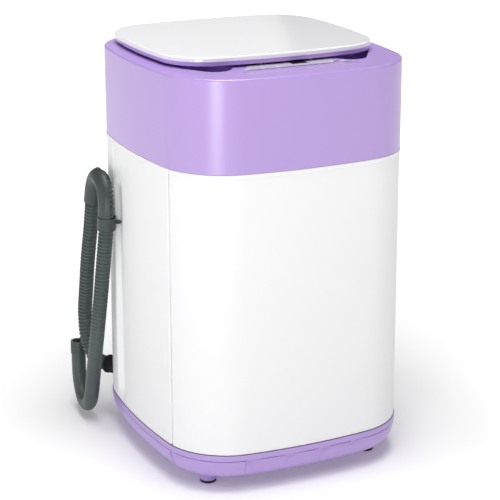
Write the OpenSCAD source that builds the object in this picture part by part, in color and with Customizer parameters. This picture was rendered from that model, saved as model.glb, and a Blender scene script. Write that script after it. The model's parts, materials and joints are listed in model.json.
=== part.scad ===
// Compact top-loading washing machine, built as an assembly of separate pieces.
// Millimetres. Up is +Z, the front is -Y, and the origin lies on the floor
// under the middle of the cabinet.

/* [Cabinet] */
// Width of the cabinet over its sides
body_w = 432; // [420:1:520]
// Depth of the cabinet over its front and back
body_d = 455; // [445:1:550]
// Radius of the cabinet's upright corners
corner_r = 113; // [100:1:115]
// How far each side bows out between its corners
side_bow = 26; // [18:1:30]
// Height of the white panels
panel_h = 460; // [420:1:552]
// Thickness of the panels' sheet steel
panel_t = 1.2; // [0.8:0.1:2]
// How far the panels sit inside the base lip and the trim rail
panel_inset = 1.5; // [1:0.1:3]
// Distance from the middle forward to the front seams
front_seam = 133; // [120:1:150]
// Distance from the middle back to the rear seams
rear_seam = 97; // [95:1:120]
// Gap between neighbouring panels
seam_gap = 1; // [0.6:0.1:2]
// Width of the folded flange at each seam
flange_w = 12; // [8:1:14]
// Height of the trim rail on top of the panels
rail_h = 6; // [4:0.5:10]
// Wall of the moulded covers
wall = 3; // [2:0.5:4]

/* [Base] */
// Height of the base above the feet
base_h = 46; // [42:1:60]
// Height of the feet under the base
foot_h = 22; // [18:1:30]
// Radius of a foot
foot_r = 13.5; // [10:0.5:16]
// How far the bottom of the base is set in from its lip
base_taper = 26; // [16:1:30]
// Height of the upright lip round the base
lip_h = 11; // [8:1:14]

/* [Top cover] */
// Height of the coloured band
cover_h = 150; // [140:1:180]
// Radius of the loading opening
neck_r = 130; // [120:1:134]
// Depth of the finger pockets
pocket_depth = 28; // [18:1:28]
// Radius of the finger pockets
pocket_r = 26.5; // [20:0.5:27]
// Radius of a control button
button_r = 6; // [4:0.5:7]
// Travel of a control button
button_travel = 1.2; // [0.8:0.1:1.5]

/* [Lid] */
// How far the lid's sides are set in from the cabinet's sides
lid_side_inset = 25; // [12:1:30]
// How far the lid's back edge is set in from the cabinet's back
lid_rear_inset = 16; // [14:1:24]
// How far the lid's front edge is set in from the cabinet's front
lid_front_inset = 89; // [70:1:96]
// Radius of the lid's corners
lid_r = 80; // [40:1:95]
// How far each side of the lid bows out
lid_bow = 18; // [8:1:24]
// Height of the lid's top shell
lid_shell_h = 8; // [7:0.5:12]
// Height of the frame under the lid's shell
lid_frame_h = 7; // [6:0.5:10]
// Gap between the closed lid and the deck
lid_gap = 4; // [3:0.5:6]
// Radius of the lid's hinge pins
pin_r = 2.5; // [2:0.5:3]

/* [Tub and basket] */
// Distance of the drum's axis behind the middle of the cabinet
drum_y = 8; // [0:1:14]
// Inside radius of the outer tub
tub_r = 184; // [150:1:186]
// Height of the outer tub
tub_h = 458; // [380:1:460]
// Drop from the deck to the top of the tub
tub_drop = 44; // [44:1:60]
// Gap between the basket and the tub
basket_gap = 16; // [12:1:24]
// Travel of the hanging tub, up and down
tub_travel = 8; // [4:1:9]
// Radius of the pulsator
pulsator_r = 128; // [100:1:132]

/* [Drive] */
// Radius of the drive shaft
shaft_r = 6; // [5:0.5:8]
// Radius of the large pulley
pulley_r = 70; // [60:1:80]
// Radius of the motor pulley
motor_pulley_r = 24; // [18:1:28]
// Radius of the motor
motor_r = 52; // [44:1:56]
// Distance between the drum's axis and the motor's
belt_centres = 137; // [130:1:142]

/* [Drain hose] */
// Outside diameter of the drain hose
hose_d = 26; // [22:1:28]
// Height of the drain outlet above the floor
outlet_z = 100; // [90:1:130]

/* [Hidden] */
$fn = 48;

side_steps = 4;
corner_steps = 10;
over = 1;               // how far a cutter runs past what it cuts
run_gap = 0.05;         // radial clearance of a running fit
part_gap = 0.4;         // gap between pieces that move past each other

// Heights of the main levels
base_top = foot_h + base_h;
rail_z = base_top + panel_h;
cover_z = rail_z + rail_h;
deck_z = cover_z + cover_h;
cover_inset = 0.6;

// The drum and its levels
drum = [0, drum_y];
tub_top = deck_z - tub_drop;
tub_z = tub_top - tub_h;
tub_floor = 4;
basket_r = tub_r - basket_gap;
basket_z = tub_z + tub_floor + 19;
basket_top = tub_top - 8;
ring_h = 34;
rod_x = body_w / 2 - 62;
rod_y = body_d / 2 - 66;
rod_r = 3;
socket_z = tub_top - 70;
lug_z = tub_z + 53;
lug_h = 16;
spring_z = tub_z + 8;
spring_r = 12;
bracket_t = 8;
socket_h = 6;
ball_r = 6.5;
ball_z = socket_z + bracket_t + socket_h + ball_r;
posts = [for (sx = [-1, 1]) for (sy = [-1, 1]) [sx * rod_x, sy * rod_y]];

// The drive under the tub
frame_z = tub_z - 12;
frame_t = 3;
pulley_z = tub_z - 90;
pulley_h = 14;
motor_at = drum + belt_centres * [cos(-30), sin(-30)];
bearing_r = 20;
spin_r = 12;

// The lid and its hinge
lid_w = body_w - 2 * lid_side_inset;
lid_d = body_d - lid_rear_inset - lid_front_inset;
lid_y = (lid_front_inset - lid_rear_inset) / 2;
lid_z = deck_z + lid_gap;
lid_top = lid_z + lid_frame_h + lid_shell_h;
lid_wall = 2.5;
hinge_y = body_d / 2 - lid_rear_inset - 4.5;
hinge_z = deck_z + 6;
hinge_x = 118;
knuckle_r = 4;
knuckle_w = 18;
lug_w = 8;

// The control area at the front of the deck
overlay_t = 0.8;
button_xs = [-78, -52, -26, 46, 68, 90];
button_y = -body_d / 2 + 71;
display_at = [18, -body_d / 2 + 90];
display_size = [28, 21];
board_z = deck_z - 16;
board_t = 1.6;
overlay_y = [-body_d / 2 + 40, -body_d / 2 + 99];

// The drain pump, its hoses and the outlet at the rear left corner
pump_at = [-body_w / 2 + 96, body_d / 2 - 107];
pump_r = 34;
pump_z = foot_h + wall;
pump_h = 62;
spigot_r = 14;
outlet_round = 149;     // where the outlet sits round the corner's arc
outlet_turn = 120;      // the way it points
outlet_reach = 13.7;

// The water inlet in the back of the cover
inlet_at = [90, deck_z - 24];
inlet_r = 13.2;
inlet_flange_r = inlet_r + 3;
inlet_len = 14;
niche_depth = 22;

gland_at = [112, outlet_z + 30];
cover_plate = [236, 250];
screw_r = 1.8;

// Route of the drain hose, from the outlet to its free end
hose_route = [
    [-199, 178, 100], [-206.4, 190.8, 100.8], [-214, 203, 107], [-221, 211, 124],
    [-225, 214, 150], [-227, 213, 190], [-227, 203, 240], [-227, 189, 300],
    [-226, 173, 360], [-226, 160, 410], [-226, 150, 440], [-226, 138, 456],
    [-226, 122, 463], [-226, 106, 459], [-226, 93, 445], [-226.6, 87.2, 422],
    [-227.4, 88, 401.5], [-228.1, 90.4, 376], [-230, 101, 320], [-232, 112, 260],
    [-235, 124, 195], [-237, 136, 140], [-238, 147, 95], [-238, 158, 58],
    [-237, 172, 36], [-236, 192, 25], [-234.5, 213, 29], [-233, 230, 45],
    [-232.4, 238, 66], [-232, 240.4, 86], [-231.6, 241, 104]
];
guide_from = 9;
guide_to = 16;

white = "#F4F4F6";
lilac = "#B493E0";
pale_lilac = "#D9C6F2";
steel = "#B9BDC4";
grey = "#6F7378";
dark = "#2B2D30";
hose_grey = "#4B5453";

// ---- Outlines -------------------------------------------------------------

function unit(v) = v / norm(v);
function along(turn) = [cos(turn), sin(turn)];
function arc(c, r, from, to, n) =
    [for (i = [0:n]) c + r * along(from + (to - from) * i / n)];
function reverse(list) = [for (i = [len(list) - 1:-1:0]) list[i]];
function tail(list) = [for (i = [1:len(list) - 1]) list[i]];
function flip(list, sx, sy) = [for (p = list) [p[0] * sx, p[1] * sy]];
function at_z(list, z) = [for (p = list) [p[0], p[1], z]];

// Radius of an arc that bows out by `bow` over twice `half`
function bow_radius(half, bow) = (half * half + bow * bow) / (2 * bow);

// The crossing of two circles that lies to the right of the line from p to q
function crossing(p, rp, q, rq) =
    let (
        d = norm(q - p),
        u = (q - p) / d,
        run = (rp * rp - rq * rq + d * d) / (2 * d),
        rise = sqrt(rp * rp - run * run)
    )
    p + run * u + rise * [u[1], -u[0]];

// Centre of the corner arc that runs smoothly into two bowed sides
function corner_centre(w, d, r, bow) =
    let (rx = bow_radius(d / 2, bow), ry = bow_radius(w / 2, bow))
    crossing([0, d / 2 - ry], ry - r, [w / 2 - rx, 0], rx - r);

// A quarter of a rectangle with bowed sides and round corners
function quarter(w, d, r, bow, inset) =
    let (
        rx = bow_radius(d / 2, bow),
        ry = bow_radius(w / 2, bow),
        cx = [w / 2 - rx, 0],
        cy = [0, d / 2 - ry],
        k = corner_centre(w, d, r, bow),
        ax = atan2(k[1], k[0] - cx[0]),
        ay = atan2(k[1] - cy[1], k[0])
    )
    concat(
        arc(cx, rx - inset, 0, ax, side_steps),
        tail(arc(k, r - inset, ax, ay, corner_steps)),
        tail(arc(cy, ry - inset, ay, 90, side_steps)));

function bowed(w, d, r, bow, inset) =
    let (q = quarter(w, d, r, bow, inset))
    concat(
        q,
        tail(reverse(flip(q, -1, 1))),
        tail(flip(q, -1, -1)),
        reverse(tail(reverse(tail(reverse(flip(q, 1, -1)))))));

function cabinet(inset) = bowed(body_w, body_d, corner_r, side_bow, inset);
function lid_outline(inset) =
    [for (p = bowed(lid_w, lid_d, lid_r, lid_bow, inset)) p + [0, lid_y]];

// Half width of the cabinet at a distance y from its middle
function edge_x(y, inset) =
    let (
        rx = bow_radius(body_d / 2, side_bow),
        k = corner_centre(body_w, body_d, corner_r, side_bow),
        side = abs(y) < k[1] * (rx - inset) / (rx - corner_r)
    )
    side
        ? body_w / 2 - rx + sqrt((rx - inset) * (rx - inset) - y * y)
        : k[0] + sqrt((corner_r - inset) * (corner_r - inset) - (abs(y) - k[1]) * (abs(y) - k[1]));

// Half depth of the cabinet at a distance x from its middle
function edge_y(x, inset) =
    let (ry = bow_radius(body_w / 2, side_bow))
    body_d / 2 - ry + sqrt((ry - inset) * (ry - inset) - x * x);

// Outline of a band round two circles
function capsule(p, q, rp, rq, n) =
    let (
        way = atan2(q[1] - p[1], q[0] - p[0]),
        lean = acos((rp - rq) / norm(q - p))
    )
    concat(arc(p, rp, way + lean, way + 360 - lean, n), arc(q, rq, way - lean, way + lean, n));

// A convex outline with its corners rounded
function rounded(pts, r, n = 5) =
    [for (i = [0:len(pts) - 1])
        let (
            u = unit(pts[(i + len(pts) - 1) % len(pts)] - pts[i]),
            v = unit(pts[(i + 1) % len(pts)] - pts[i]),
            half = acos(u * v) / 2,
            c = pts[i] + unit(u + v) * r / sin(half),
            s = pts[i] + u * r / tan(half) - c,
            from = atan2(s[1], s[0])
        )
        each arc(c, r, from, from + 180 - 2 * half, n)];
function box_points(c, w, d) =
    [c + [-w, -d] / 2, c + [w, -d] / 2, c + [w, d] / 2, c + [-w, d] / 2];

// ---- Shapes used more than once --------------------------------------------

// A closed skin through a stack of rings, each ring a list of points
module loft(rings) {
    n = len(rings[0]);
    m = len(rings);
    polyhedron(
        [for (ring = rings) each ring],
        concat(
            [[for (i = [0:n - 1]) i]],
            [for (j = [0:m - 2]) for (i = [0:n - 1])
                [j * n + i, (j + 1) * n + i, (j + 1) * n + (i + 1) % n, j * n + (i + 1) % n]],
            [[for (i = [n - 1:-1:0]) (m - 1) * n + i]]));
}

module slab(points, z, h) {
    translate([0, 0, z]) linear_extrude(h) polygon(points);
}

module ring_slab(outer, inner, z, h) {
    translate([0, 0, z]) linear_extrude(h) difference() {
        polygon(outer);
        polygon(inner);
    }
}

module disc(at, r, z, h) {
    translate([at[0], at[1], z]) cylinder(r = r, h = h);
}

module pipe(at, r, bore, z, h) {
    translate([at[0], at[1], z]) difference() {
        cylinder(r = r, h = h);
        translate([0, 0, -over]) cylinder(r = bore, h = h + 2 * over);
    }
}

module block(x, y, z) {
    translate([x[0], y[0], z[0]]) cube([x[1] - x[0], y[1] - y[0], z[1] - z[0]]);
}

// Places a child that stands on Z so that it runs from p towards q
module from_to(p, q) {
    v = q - p;
    translate(p)
        rotate([0, acos(v[2] / norm(v)), atan2(v[1], v[0])])
            children();
}

// A corrugated sleeve standing on Z
module bellows(r, bore, h, pitch) {
    n = round(h / pitch);
    step = h / n;
    rotate_extrude()
        polygon(concat(
            [[bore, 0]],
            [for (i = [0:n - 1]) each [
                [r - 1.5, i * step], [r, i * step + step * 0.3],
                [r, i * step + step * 0.7]]],
            [[r - 1.5, h], [bore, h]]));
}

// ---- Cabinet ---------------------------------------------------------------

module base_pan() color(lilac) {
    low = [for (i = [0:6]) let (t = 90 * i / 6)
        [base_taper * (1 - sin(t)) + 1.5 * sin(t), foot_h + (base_h - lip_h - 1) * (1 - cos(t))]];
    rings = concat(
        [for (p = low) at_z(cabinet(p[0]), p[1])],
        [at_z(cabinet(0), base_top - lip_h), at_z(cabinet(0), base_top),
         at_z(cabinet(wall + 1), base_top), at_z(cabinet(wall + 2), base_top - lip_h),
         at_z(cabinet(base_taper * 0.4 + wall), foot_h + base_h * 0.3),
         at_z(cabinet(base_taper + wall), foot_h + wall)]);
    difference() {
        loft(rings);
        disc(drum, 95, foot_h - over, wall + 2 * over);
        for (x = [-101, -34, 26, 86])
            block([x - 9.5, x + 9.5], [-body_d / 2 - over, -edge_y(x, 3.5)],
                [base_top - lip_h - 16, base_top - lip_h - 3]);
    }
}

module feet() color(dark) {
    for (sx = [-1, 1]) for (sy = [-1, 1])
        translate([sx * (body_w / 2 - 68), sy * (body_d / 2 - 79), 0]) {
            cylinder(r = foot_r, h = 9);
            translate([0, 0, 9]) cylinder(r = foot_r - 3, h = foot_h - 9);
        }
}

// The folded edge of a panel where it meets a seam
module seam_flange(side, y, t) {
    x = edge_x(y, panel_inset) - t / 2;
    translate([side > 0 ? x - flange_w : -x, min(y, y + t), 0])
        square([flange_w, abs(t)]);
}

module panel_sheet(low, high) {
    intersection() {
        difference() {
            polygon(cabinet(panel_inset));
            polygon(cabinet(panel_inset + panel_t));
        }
        translate(low) square(high - low);
    }
}

module front_panel() color(white) translate([0, 0, base_top]) {
    y = -front_seam - seam_gap / 2;
    linear_extrude(panel_h) {
        panel_sheet([-body_w, -body_d], [body_w, y]);
        for (side = [-1, 1]) translate([0, -panel_t])
            seam_flange(side, y, panel_t);
    }
}

module side_sheet(side) {
    front = -front_seam + seam_gap / 2;
    rear = rear_seam - seam_gap / 2;
    translate([0, 0, base_top]) linear_extrude(panel_h) {
        panel_sheet([side > 0 ? 0 : -body_w, front], [side > 0 ? body_w : 0, rear]);
        seam_flange(side, front, panel_t);
        translate([0, -panel_t]) seam_flange(side, rear, panel_t);
    }
}

// A long shallow recess that clears the stored hose
recess_y = [52, 92];
recess_z = [76, 470];
recess_depth = 8;
recess_skin = -edge_x(recess_y[1], panel_inset);
module recess_shape(grow, x0, x1) {
    r = (recess_y[1] - recess_y[0]) / 2;
    mid = (recess_y[0] + recess_y[1]) / 2;
    shape = capsule([mid, recess_z[0] + r], [mid, recess_z[1] - r], r + grow, r + grow, 14);
    translate([x0, 0, 0]) rotate([90, 0, 90]) linear_extrude(x1 - x0) polygon(shape);
}

module left_panel() color(white) difference() {
    union() {
        side_sheet(-1);
        recess_shape(panel_t, recess_skin + panel_t / 2, recess_skin + recess_depth + panel_t);
    }
    recess_shape(0, -body_w, recess_skin + recess_depth);
}

module right_panel() color(white) side_sheet(1);

outlet_corner = flip([corner_centre(body_w, body_d, corner_r, side_bow)], -1, 1)[0];
outlet_skin = outlet_corner + (corner_r - panel_inset) * along(outlet_round);
outlet_way = along(outlet_turn);

module along_outlet(from) {
    p = outlet_skin + from * outlet_way;
    translate([p[0], p[1], outlet_z]) rotate([0, 90, outlet_turn]) children();
}

module rear_panel() color(white) difference() {
    y = rear_seam + seam_gap / 2;
    translate([0, 0, base_top]) linear_extrude(panel_h) {
        panel_sheet([-body_w, y], [body_w, body_d]);
        for (side = [-1, 1]) seam_flange(side, y, panel_t);
    }
    block([-cover_plate[0] / 2 + 12, cover_plate[0] / 2 - 12], [rear_seam + 60, body_d],
        [gland_at[1] + 42, gland_at[1] + 18 + cover_plate[1]]);
    screw_bores();
    along_outlet(-30) cylinder(r = 16, h = 60);
    translate([gland_at[0], body_d / 2 + over, gland_at[1]]) rotate([90, 0, 0])
        cylinder(r = 9, h = 60);
}

// A bowed plate that closes the opening in the back
module rear_service_cover() color(white) difference() {
    intersection() {
        ring_slab(cabinet(0.5), cabinet(panel_inset), gland_at[1] + 30, cover_plate[1]);
        block([-cover_plate[0] / 2, cover_plate[0] / 2], [0, body_d], [0, deck_z]);
    }
    for (i = [0:7])
        block([-60, 60], [body_d / 2 - 20, body_d / 2 + over],
            [gland_at[1] + 70 + i * 12, gland_at[1] + 74 + i * 12]);
    screw_bores();
}

// Places a child that stands on Z at each screw of the service cover, pointing outwards
module at_cover_screws(inset) {
    ry = bow_radius(body_w / 2, side_bow);
    for (side = [-1, 1]) for (i = [0:2]) {
        x = side * (cover_plate[0] / 2 - 6);
        translate([x, edge_y(x, inset), gland_at[1] + 42 + i * (cover_plate[1] / 2 - 12)])
            rotate([-90, 0, -asin(x / (ry - inset))]) children();
    }
}

module screw_bores() {
    at_cover_screws(0.5) translate([0, 0, -12]) cylinder(r = screw_r, h = 14);
}

module service_screws() color(steel) at_cover_screws(0.4) {
    cylinder(r = 4, h = 2);
    translate([0, 0, -9]) cylinder(r = screw_r, h = 9 + over);
}

module top_rail() color(white) {
    ring_slab(cabinet(0), cabinet(6), rail_z, rail_h);
}

// ---- Top cover ---------------------------------------------------------------

// The two finger pockets, one each side of the controls
function pocket(side, grow) =
    let (
        back = [side * (body_w / 2 - 74), -body_d / 2 + 138],
        front = [side * (body_w / 2 - 96), -body_d / 2 + 104]
    )
    side > 0
        ? capsule(front, back, pocket_r + grow, pocket_r + grow, 12)
        : capsule(back, front, pocket_r + grow, pocket_r + grow, 12);

niche_wall = 2.5;
niche_back = edge_y(inlet_at[0], 0) - niche_depth;
module inlet_niche(grow) {
    block([inlet_at[0] - 26 - grow, inlet_at[0] + 26 + grow],
        [niche_back - grow, body_d / 2 + over],
        [deck_z - 46 - grow, deck_z - wall]);
}

module hinge_lugs() {
    for (side = [-1, 1]) for (end = [-1, 1]) {
        x = side * hinge_x + end * (knuckle_w / 2 + part_gap + lug_w / 2) - lug_w / 2;
        block([x, x + lug_w], [hinge_y - knuckle_r, hinge_y + knuckle_r],
            [deck_z - over, hinge_z]);
        translate([x, hinge_y, hinge_z]) rotate([0, 90, 0]) cylinder(r = knuckle_r, h = lug_w);
    }
}

// A span that starts just inside a hanger and runs out past the cabinet wall
function outward(v) = v > 0 ? [v - 24, v + 84] : [v - 84, v + 24];

module hanger_brackets() {
    for (p = posts) difference() {
        intersection() {
            slab(cabinet(cover_inset + 1), socket_z, bracket_t);
            block(outward(p[0]), outward(p[1]), [socket_z - over, socket_z + bracket_t + over]);
        }
        disc(drum, tub_r + wall + 8, socket_z - over, bracket_t + 2 * over);
        disc(p, 8, socket_z - over, bracket_t + 2 * over);
    }
}

module top_cover() color(lilac) difference() {
    union() {
        ring_slab(cabinet(cover_inset), cabinet(cover_inset + wall), cover_z, cover_h - wall);
        slab(cabinet(cover_inset), deck_z - wall, wall);
        disc(drum, neck_r + wall, deck_z - tub_drop + 6, tub_drop - 6 - over);
        for (side = [-1, 1])
            slab(pocket(side, 2.5), deck_z - pocket_depth - 2.5, pocket_depth);
        intersection() {
            inlet_niche(niche_wall);
            slab(cabinet(cover_inset + 1), cover_z, cover_h);
        }
        hanger_brackets();
        hinge_lugs();
    }
    disc(drum, neck_r, cover_z - over, cover_h + 2 * over);
    for (side = [-1, 1])
        slab(pocket(side, 0), deck_z - pocket_depth, pocket_depth + over);
    inlet_niche(0);
    spout_block(0);
    translate([inlet_at[0], body_d / 2 + over, inlet_at[1]]) rotate([90, 0, 0])
        cylinder(r = inlet_flange_r + part_gap, h = 70);
    for (x = button_xs)
        disc([x, button_y], button_r + part_gap, deck_z - wall - over, wall + 2 * over);
    slab(box_points(display_at, display_size[0] - 4, display_size[1] - 4), deck_z - 10, 20);
    translate([-body_w / 2, hinge_y, hinge_z]) rotate([0, 90, 0])
        cylinder(r = pin_r, h = body_w);
}

module control_overlay() color("#C9C8CF") {
    front = overlay_y[0];
    back = overlay_y[1];
    difference() {
        slab(rounded([[-100, front], [112, front], [78, back], [-66, back]], 8), deck_z, overlay_t);
        for (x = button_xs)
            disc([x, button_y], button_r + part_gap, deck_z - over, 3);
        slab(box_points(display_at, display_size[0], display_size[1]), deck_z - over, 3);
    }
}

module display_window() color(dark)
    slab(box_points(display_at, display_size[0], display_size[1]), deck_z, overlay_t + 0.3);

module control_board() color("#3C7A4E") {
    last = len(button_xs) - 1;
    slab(box_points([(button_xs[0] + button_xs[last]) / 2, button_y],
        button_xs[last] - button_xs[0] + 14, 18), board_z, board_t);
    for (x = button_xs)
        slab(box_points([x, button_y], 7, 7), board_z + board_t, 7);
    slab(box_points(display_at - [0, 6], display_size[0], display_size[1] - 4), board_z, board_t);
    slab(box_points(display_at, display_size[0] - 5, display_size[1] - 5), board_z + board_t,
        deck_z - board_z - board_t - 0.4);
}

module button(i) color("#DCDCE2") {
    at = [button_xs[i], button_y];
    disc(at, button_r, deck_z - wall - 3, wall + 3 + overlay_t + 0.8);
    disc(at, button_r + 1.6, deck_z - wall - 3, 2.4);
}
module button_1() button(0);
module button_2() button(1);
module button_3() button(2);
module button_4() button(3);
module button_5() button(4);
module button_6() button(5);

// ---- Lid -----------------------------------------------------------------------

module lid_shell() color(white) {
    z = lid_z + lid_frame_h;
    loft([
        at_z(lid_outline(6), lid_top - lid_wall),
        at_z(lid_outline(lid_wall + 0.5), lid_top - lid_wall - 1.5),
        at_z(lid_outline(lid_wall), z),
        at_z(lid_outline(0), z),
        at_z(lid_outline(0), lid_top - 3.5),
        at_z(lid_outline(0.8), lid_top - 1.6),
        at_z(lid_outline(2.4), lid_top - 0.5),
        at_z(lid_outline(6), lid_top)
    ]);
}

module lid_frame() color(pale_lilac) {
    back = hinge_y - knuckle_r - 1.5;
    difference() {
        union() {
            intersection() {
                union() {
                    ring_slab(lid_outline(2), lid_outline(8), lid_z, lid_frame_h);
                    slab(lid_outline(2), lid_z + lid_frame_h - 2.5, 2.5);
                }
                block([-body_w, body_w], [-body_d, back], [0, lid_top]);
            }
            for (side = [-1, 1]) {
                x = side * hinge_x - knuckle_w / 2;
                block([x, x + knuckle_w], [back - 8, hinge_y], [hinge_z - 2.5, hinge_z + 3.5]);
                block([x, x + knuckle_w], [back - 8, back - 1], [hinge_z, lid_z + lid_frame_h - 1]);
                translate([x, hinge_y, hinge_z]) rotate([0, 90, 0])
                    cylinder(r = knuckle_r, h = knuckle_w);
            }
        }
        translate([-body_w / 2, hinge_y, hinge_z]) rotate([0, 90, 0])
            cylinder(r = pin_r + run_gap, h = body_w);
    }
}

module lid_hinge_pins() color(steel)
    for (side = [-1, 1])
        translate([side * hinge_x - knuckle_w / 2 - part_gap - lug_w, hinge_y, hinge_z])
            rotate([0, 90, 0]) cylinder(r = pin_r, h = knuckle_w + 2 * part_gap + 2 * lug_w);

module lid_bumpers() color(grey)
    for (side = [-1, 1]) {
        disc([side * (lid_w / 2 - 5), lid_y], 2.8, deck_z + part_gap, lid_gap - part_gap);
        disc([side * 44, lid_y - lid_d / 2 + 6], 2.8, deck_z + overlay_t + part_gap,
            lid_gap - part_gap - overlay_t);
    }

module lid_switch() color(grey)
    slab(box_points([-body_w / 2 + 26, drum_y + 60], 14, 44), deck_z - wall - 16, 16);

// ---- Tub, basket and suspension ---------------------------------------------

module tub_lug(p) {
    v = p - drum;
    reach = norm(v);
    translate([drum[0], drum[1], lug_z]) rotate([0, 0, atan2(v[1], v[0])]) {
        translate([tub_r + 1, -15, 0]) cube([reach - tub_r - 1, 30, lug_h]);
        translate([reach, 0, 0]) cylinder(r = 15, h = lug_h);
        translate([tub_r + 1, -3, lug_h - over]) cube([reach - tub_r - 8, 6, 20]);
    }
}

module outer_tub() color("#E6E7EA") difference() {
    union() {
        translate([drum[0], drum[1], tub_z]) rotate_extrude() polygon([
            [bearing_r, 0], [tub_r - 8, 0], [tub_r + wall, 11], [tub_r + wall, tub_h - 6],
            [tub_r, tub_h - 6], [tub_r, 12 + tub_floor], [tub_r - 10, tub_floor],
            [bearing_r + 6, tub_floor], [bearing_r + 6, 14], [bearing_r, 14]]);
        for (turn = [45:90:315])
            translate([drum[0], drum[1], 0]) rotate([0, 0, turn])
                translate([78, 0, frame_z + frame_t]) cylinder(r = 9, h = tub_z - frame_z - frame_t + over);
        for (p = posts) tub_lug(p);
        disc(pump_at, spigot_r, tub_z - 16, 16 + over);
    }
    disc(pump_at, spigot_r - 2.5, tub_z - 17, 40);
    for (p = posts) disc(p, rod_r + 1.5, lug_z - over, lug_h + 30);
}

module tub_cover_ring() color(white)
    translate([drum[0], drum[1], tub_top - 6]) rotate_extrude() polygon([
        [neck_r + 13, 3], [tub_r, 3], [tub_r, 0], [tub_r + wall, 0], [tub_r + wall, 6],
        [neck_r + 13, 6]]);

module suspension_rods() color(steel)
    for (p = posts) {
        disc(p, rod_r, spring_z - 5, ball_z - spring_z + 5);
        disc(p, spring_r, spring_z - 5, 5);
        translate([p[0], p[1], ball_z]) sphere(r = ball_r);
    }

module suspension_sockets() color(grey)
    for (p = posts) pipe(p, 11, rod_r, socket_z + bracket_t, socket_h);

module suspension_springs() color(steel)
    for (p = posts)
        translate([p[0], p[1], spring_z])
            bellows(spring_r, rod_r + 4.5, lug_z - spring_z, 5);

module wash_basket() color(steel) {
    rows = 5;
    span = basket_top - ring_h - basket_z;
    translate([drum[0], drum[1], 0]) difference() {
        translate([0, 0, basket_z]) rotate_extrude() polygon([
            [24, 0], [basket_r - 14, 0], [basket_r, 14], [basket_r, span],
            [basket_r - 1, span], [basket_r - 1, 14.5], [basket_r - 14.5, 2], [24, 2]]);
        for (j = [0:rows - 1]) for (i = [0:11])
            rotate([0, 0, 30 * i + 15 * (j % 2)])
                translate([basket_r - 4, 0, basket_z + 50 + j * (span - 90) / (rows - 1)])
                    rotate([0, 90, 0]) cylinder(r = 2.5, h = 4 + over);
    }
}

module basket_hub() color("#9BA0A8")
    translate([drum[0], drum[1], 0]) rotate_extrude() polygon([
        [shaft_r + run_gap, frame_z - 44], [spin_r, frame_z - 44], [spin_r, basket_z - 8],
        [60, basket_z - 8], [60, basket_z], [24, basket_z], [24, basket_z + 6],
        [shaft_r + run_gap, basket_z + 6]]);

module balance_ring() color("#D5D6DA")
    translate([drum[0], drum[1], basket_top - ring_h]) rotate_extrude() polygon([
        [neck_r + 2, 3], [neck_r + 5, 0], [basket_r + 2, 0], [basket_r + 2, ring_h - 3],
        [basket_r - 1, ring_h], [neck_r + 5, ring_h], [neck_r + 2, ring_h - 3]]);

module lint_filter() color("#8FB4D8")
    translate([drum[0], drum[1], 0]) rotate([0, 0, 90]) difference() {
        intersection() {
            cylinder(r = basket_r - 1, h = deck_z);
            translate([basket_r - 13, -28, basket_z + 120]) cube([20, 56, 130]);
        }
        translate([basket_r - 11, -22, basket_z + 126]) cube([20, 44, 118]);
    }

module pulsator() color("#E9EAF0") {
    z = basket_z + 8;
    translate([drum[0], drum[1], z]) difference() {
        union() {
            rotate_extrude() polygon([
                [0, 0], [pulsator_r - 6, 0], [pulsator_r, 4], [pulsator_r - 2, 8],
                [44, 14], [34, 30], [0, 34]]);
            intersection() {
                rotate_extrude() polygon([
                    [0, 2], [pulsator_r - 6, 2], [pulsator_r - 10, 16], [40, 34], [0, 36]]);
                for (i = [0:5]) rotate([0, 0, 60 * i])
                    translate([0, -4, 0]) cube([pulsator_r, 8, 40]);
            }
        }
        translate([0, 0, -over]) cylinder(r = shaft_r, h = 40);
        translate([0, 0, 28]) cylinder(r = 10, h = 12);
    }
}

module pulsator_screw() color(steel) disc(drum, 8, basket_z + 36, 5);

// ---- Drive ---------------------------------------------------------------------

module drive_shaft() color(steel)
    disc(drum, shaft_r, pulley_z - 6, basket_z + 36 - pulley_z + 6);

module tub_pulley() color("#C4C7CC")
    translate([drum[0], drum[1], pulley_z]) difference() {
        rotate_extrude() polygon([
            [shaft_r, 0], [pulley_r, 0], [pulley_r, 2], [pulley_r - 6, 5],
            [pulley_r - 6, pulley_h - 5], [pulley_r, pulley_h - 2], [pulley_r, pulley_h],
            [pulley_r - 10, pulley_h], [pulley_r - 10, 5], [shaft_r + 9, 5],
            [shaft_r + 9, pulley_h], [shaft_r, pulley_h]]);
        for (i = [0:4]) rotate([0, 0, 72 * i])
            translate([pulley_r * 0.54, 0, -over]) cylinder(r = 13, h = 10);
    }

module motor_pulley() color(steel)
    translate([motor_at[0], motor_at[1], pulley_z]) {
        rotate_extrude() polygon([
            [0, 0], [motor_pulley_r, 0], [motor_pulley_r, 2], [motor_pulley_r - 5, 5],
            [motor_pulley_r - 5, pulley_h - 5], [motor_pulley_r, pulley_h - 2],
            [motor_pulley_r, pulley_h], [0, pulley_h]]);
        cylinder(r = shaft_r, h = pulley_h + 40);
    }

module drive_belt() color(dark) {
    inner = part_gap - 6;
    translate([0, 0, pulley_z + 5 + part_gap]) linear_extrude(pulley_h - 10 - 2 * part_gap)
        difference() {
            polygon(capsule(drum, motor_at, pulley_r + inner + 5, motor_pulley_r + inner + 6, 24));
            polygon(capsule(drum, motor_at, pulley_r + inner + 0.4, motor_pulley_r + inner + 1.4, 24));
        }
}

module motor() color("#8E9298")
    translate([motor_at[0], motor_at[1], 0]) difference() {
        union() {
            translate([0, 0, pulley_z + 22]) cylinder(r = motor_r, h = frame_z - pulley_z - 22 - 6);
            translate([0, 0, frame_z - 6]) cylinder(r = motor_r - 16, h = 6);
        }
        translate([0, 0, pulley_z + 21]) cylinder(r = shaft_r + run_gap, h = 34);
    }

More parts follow.
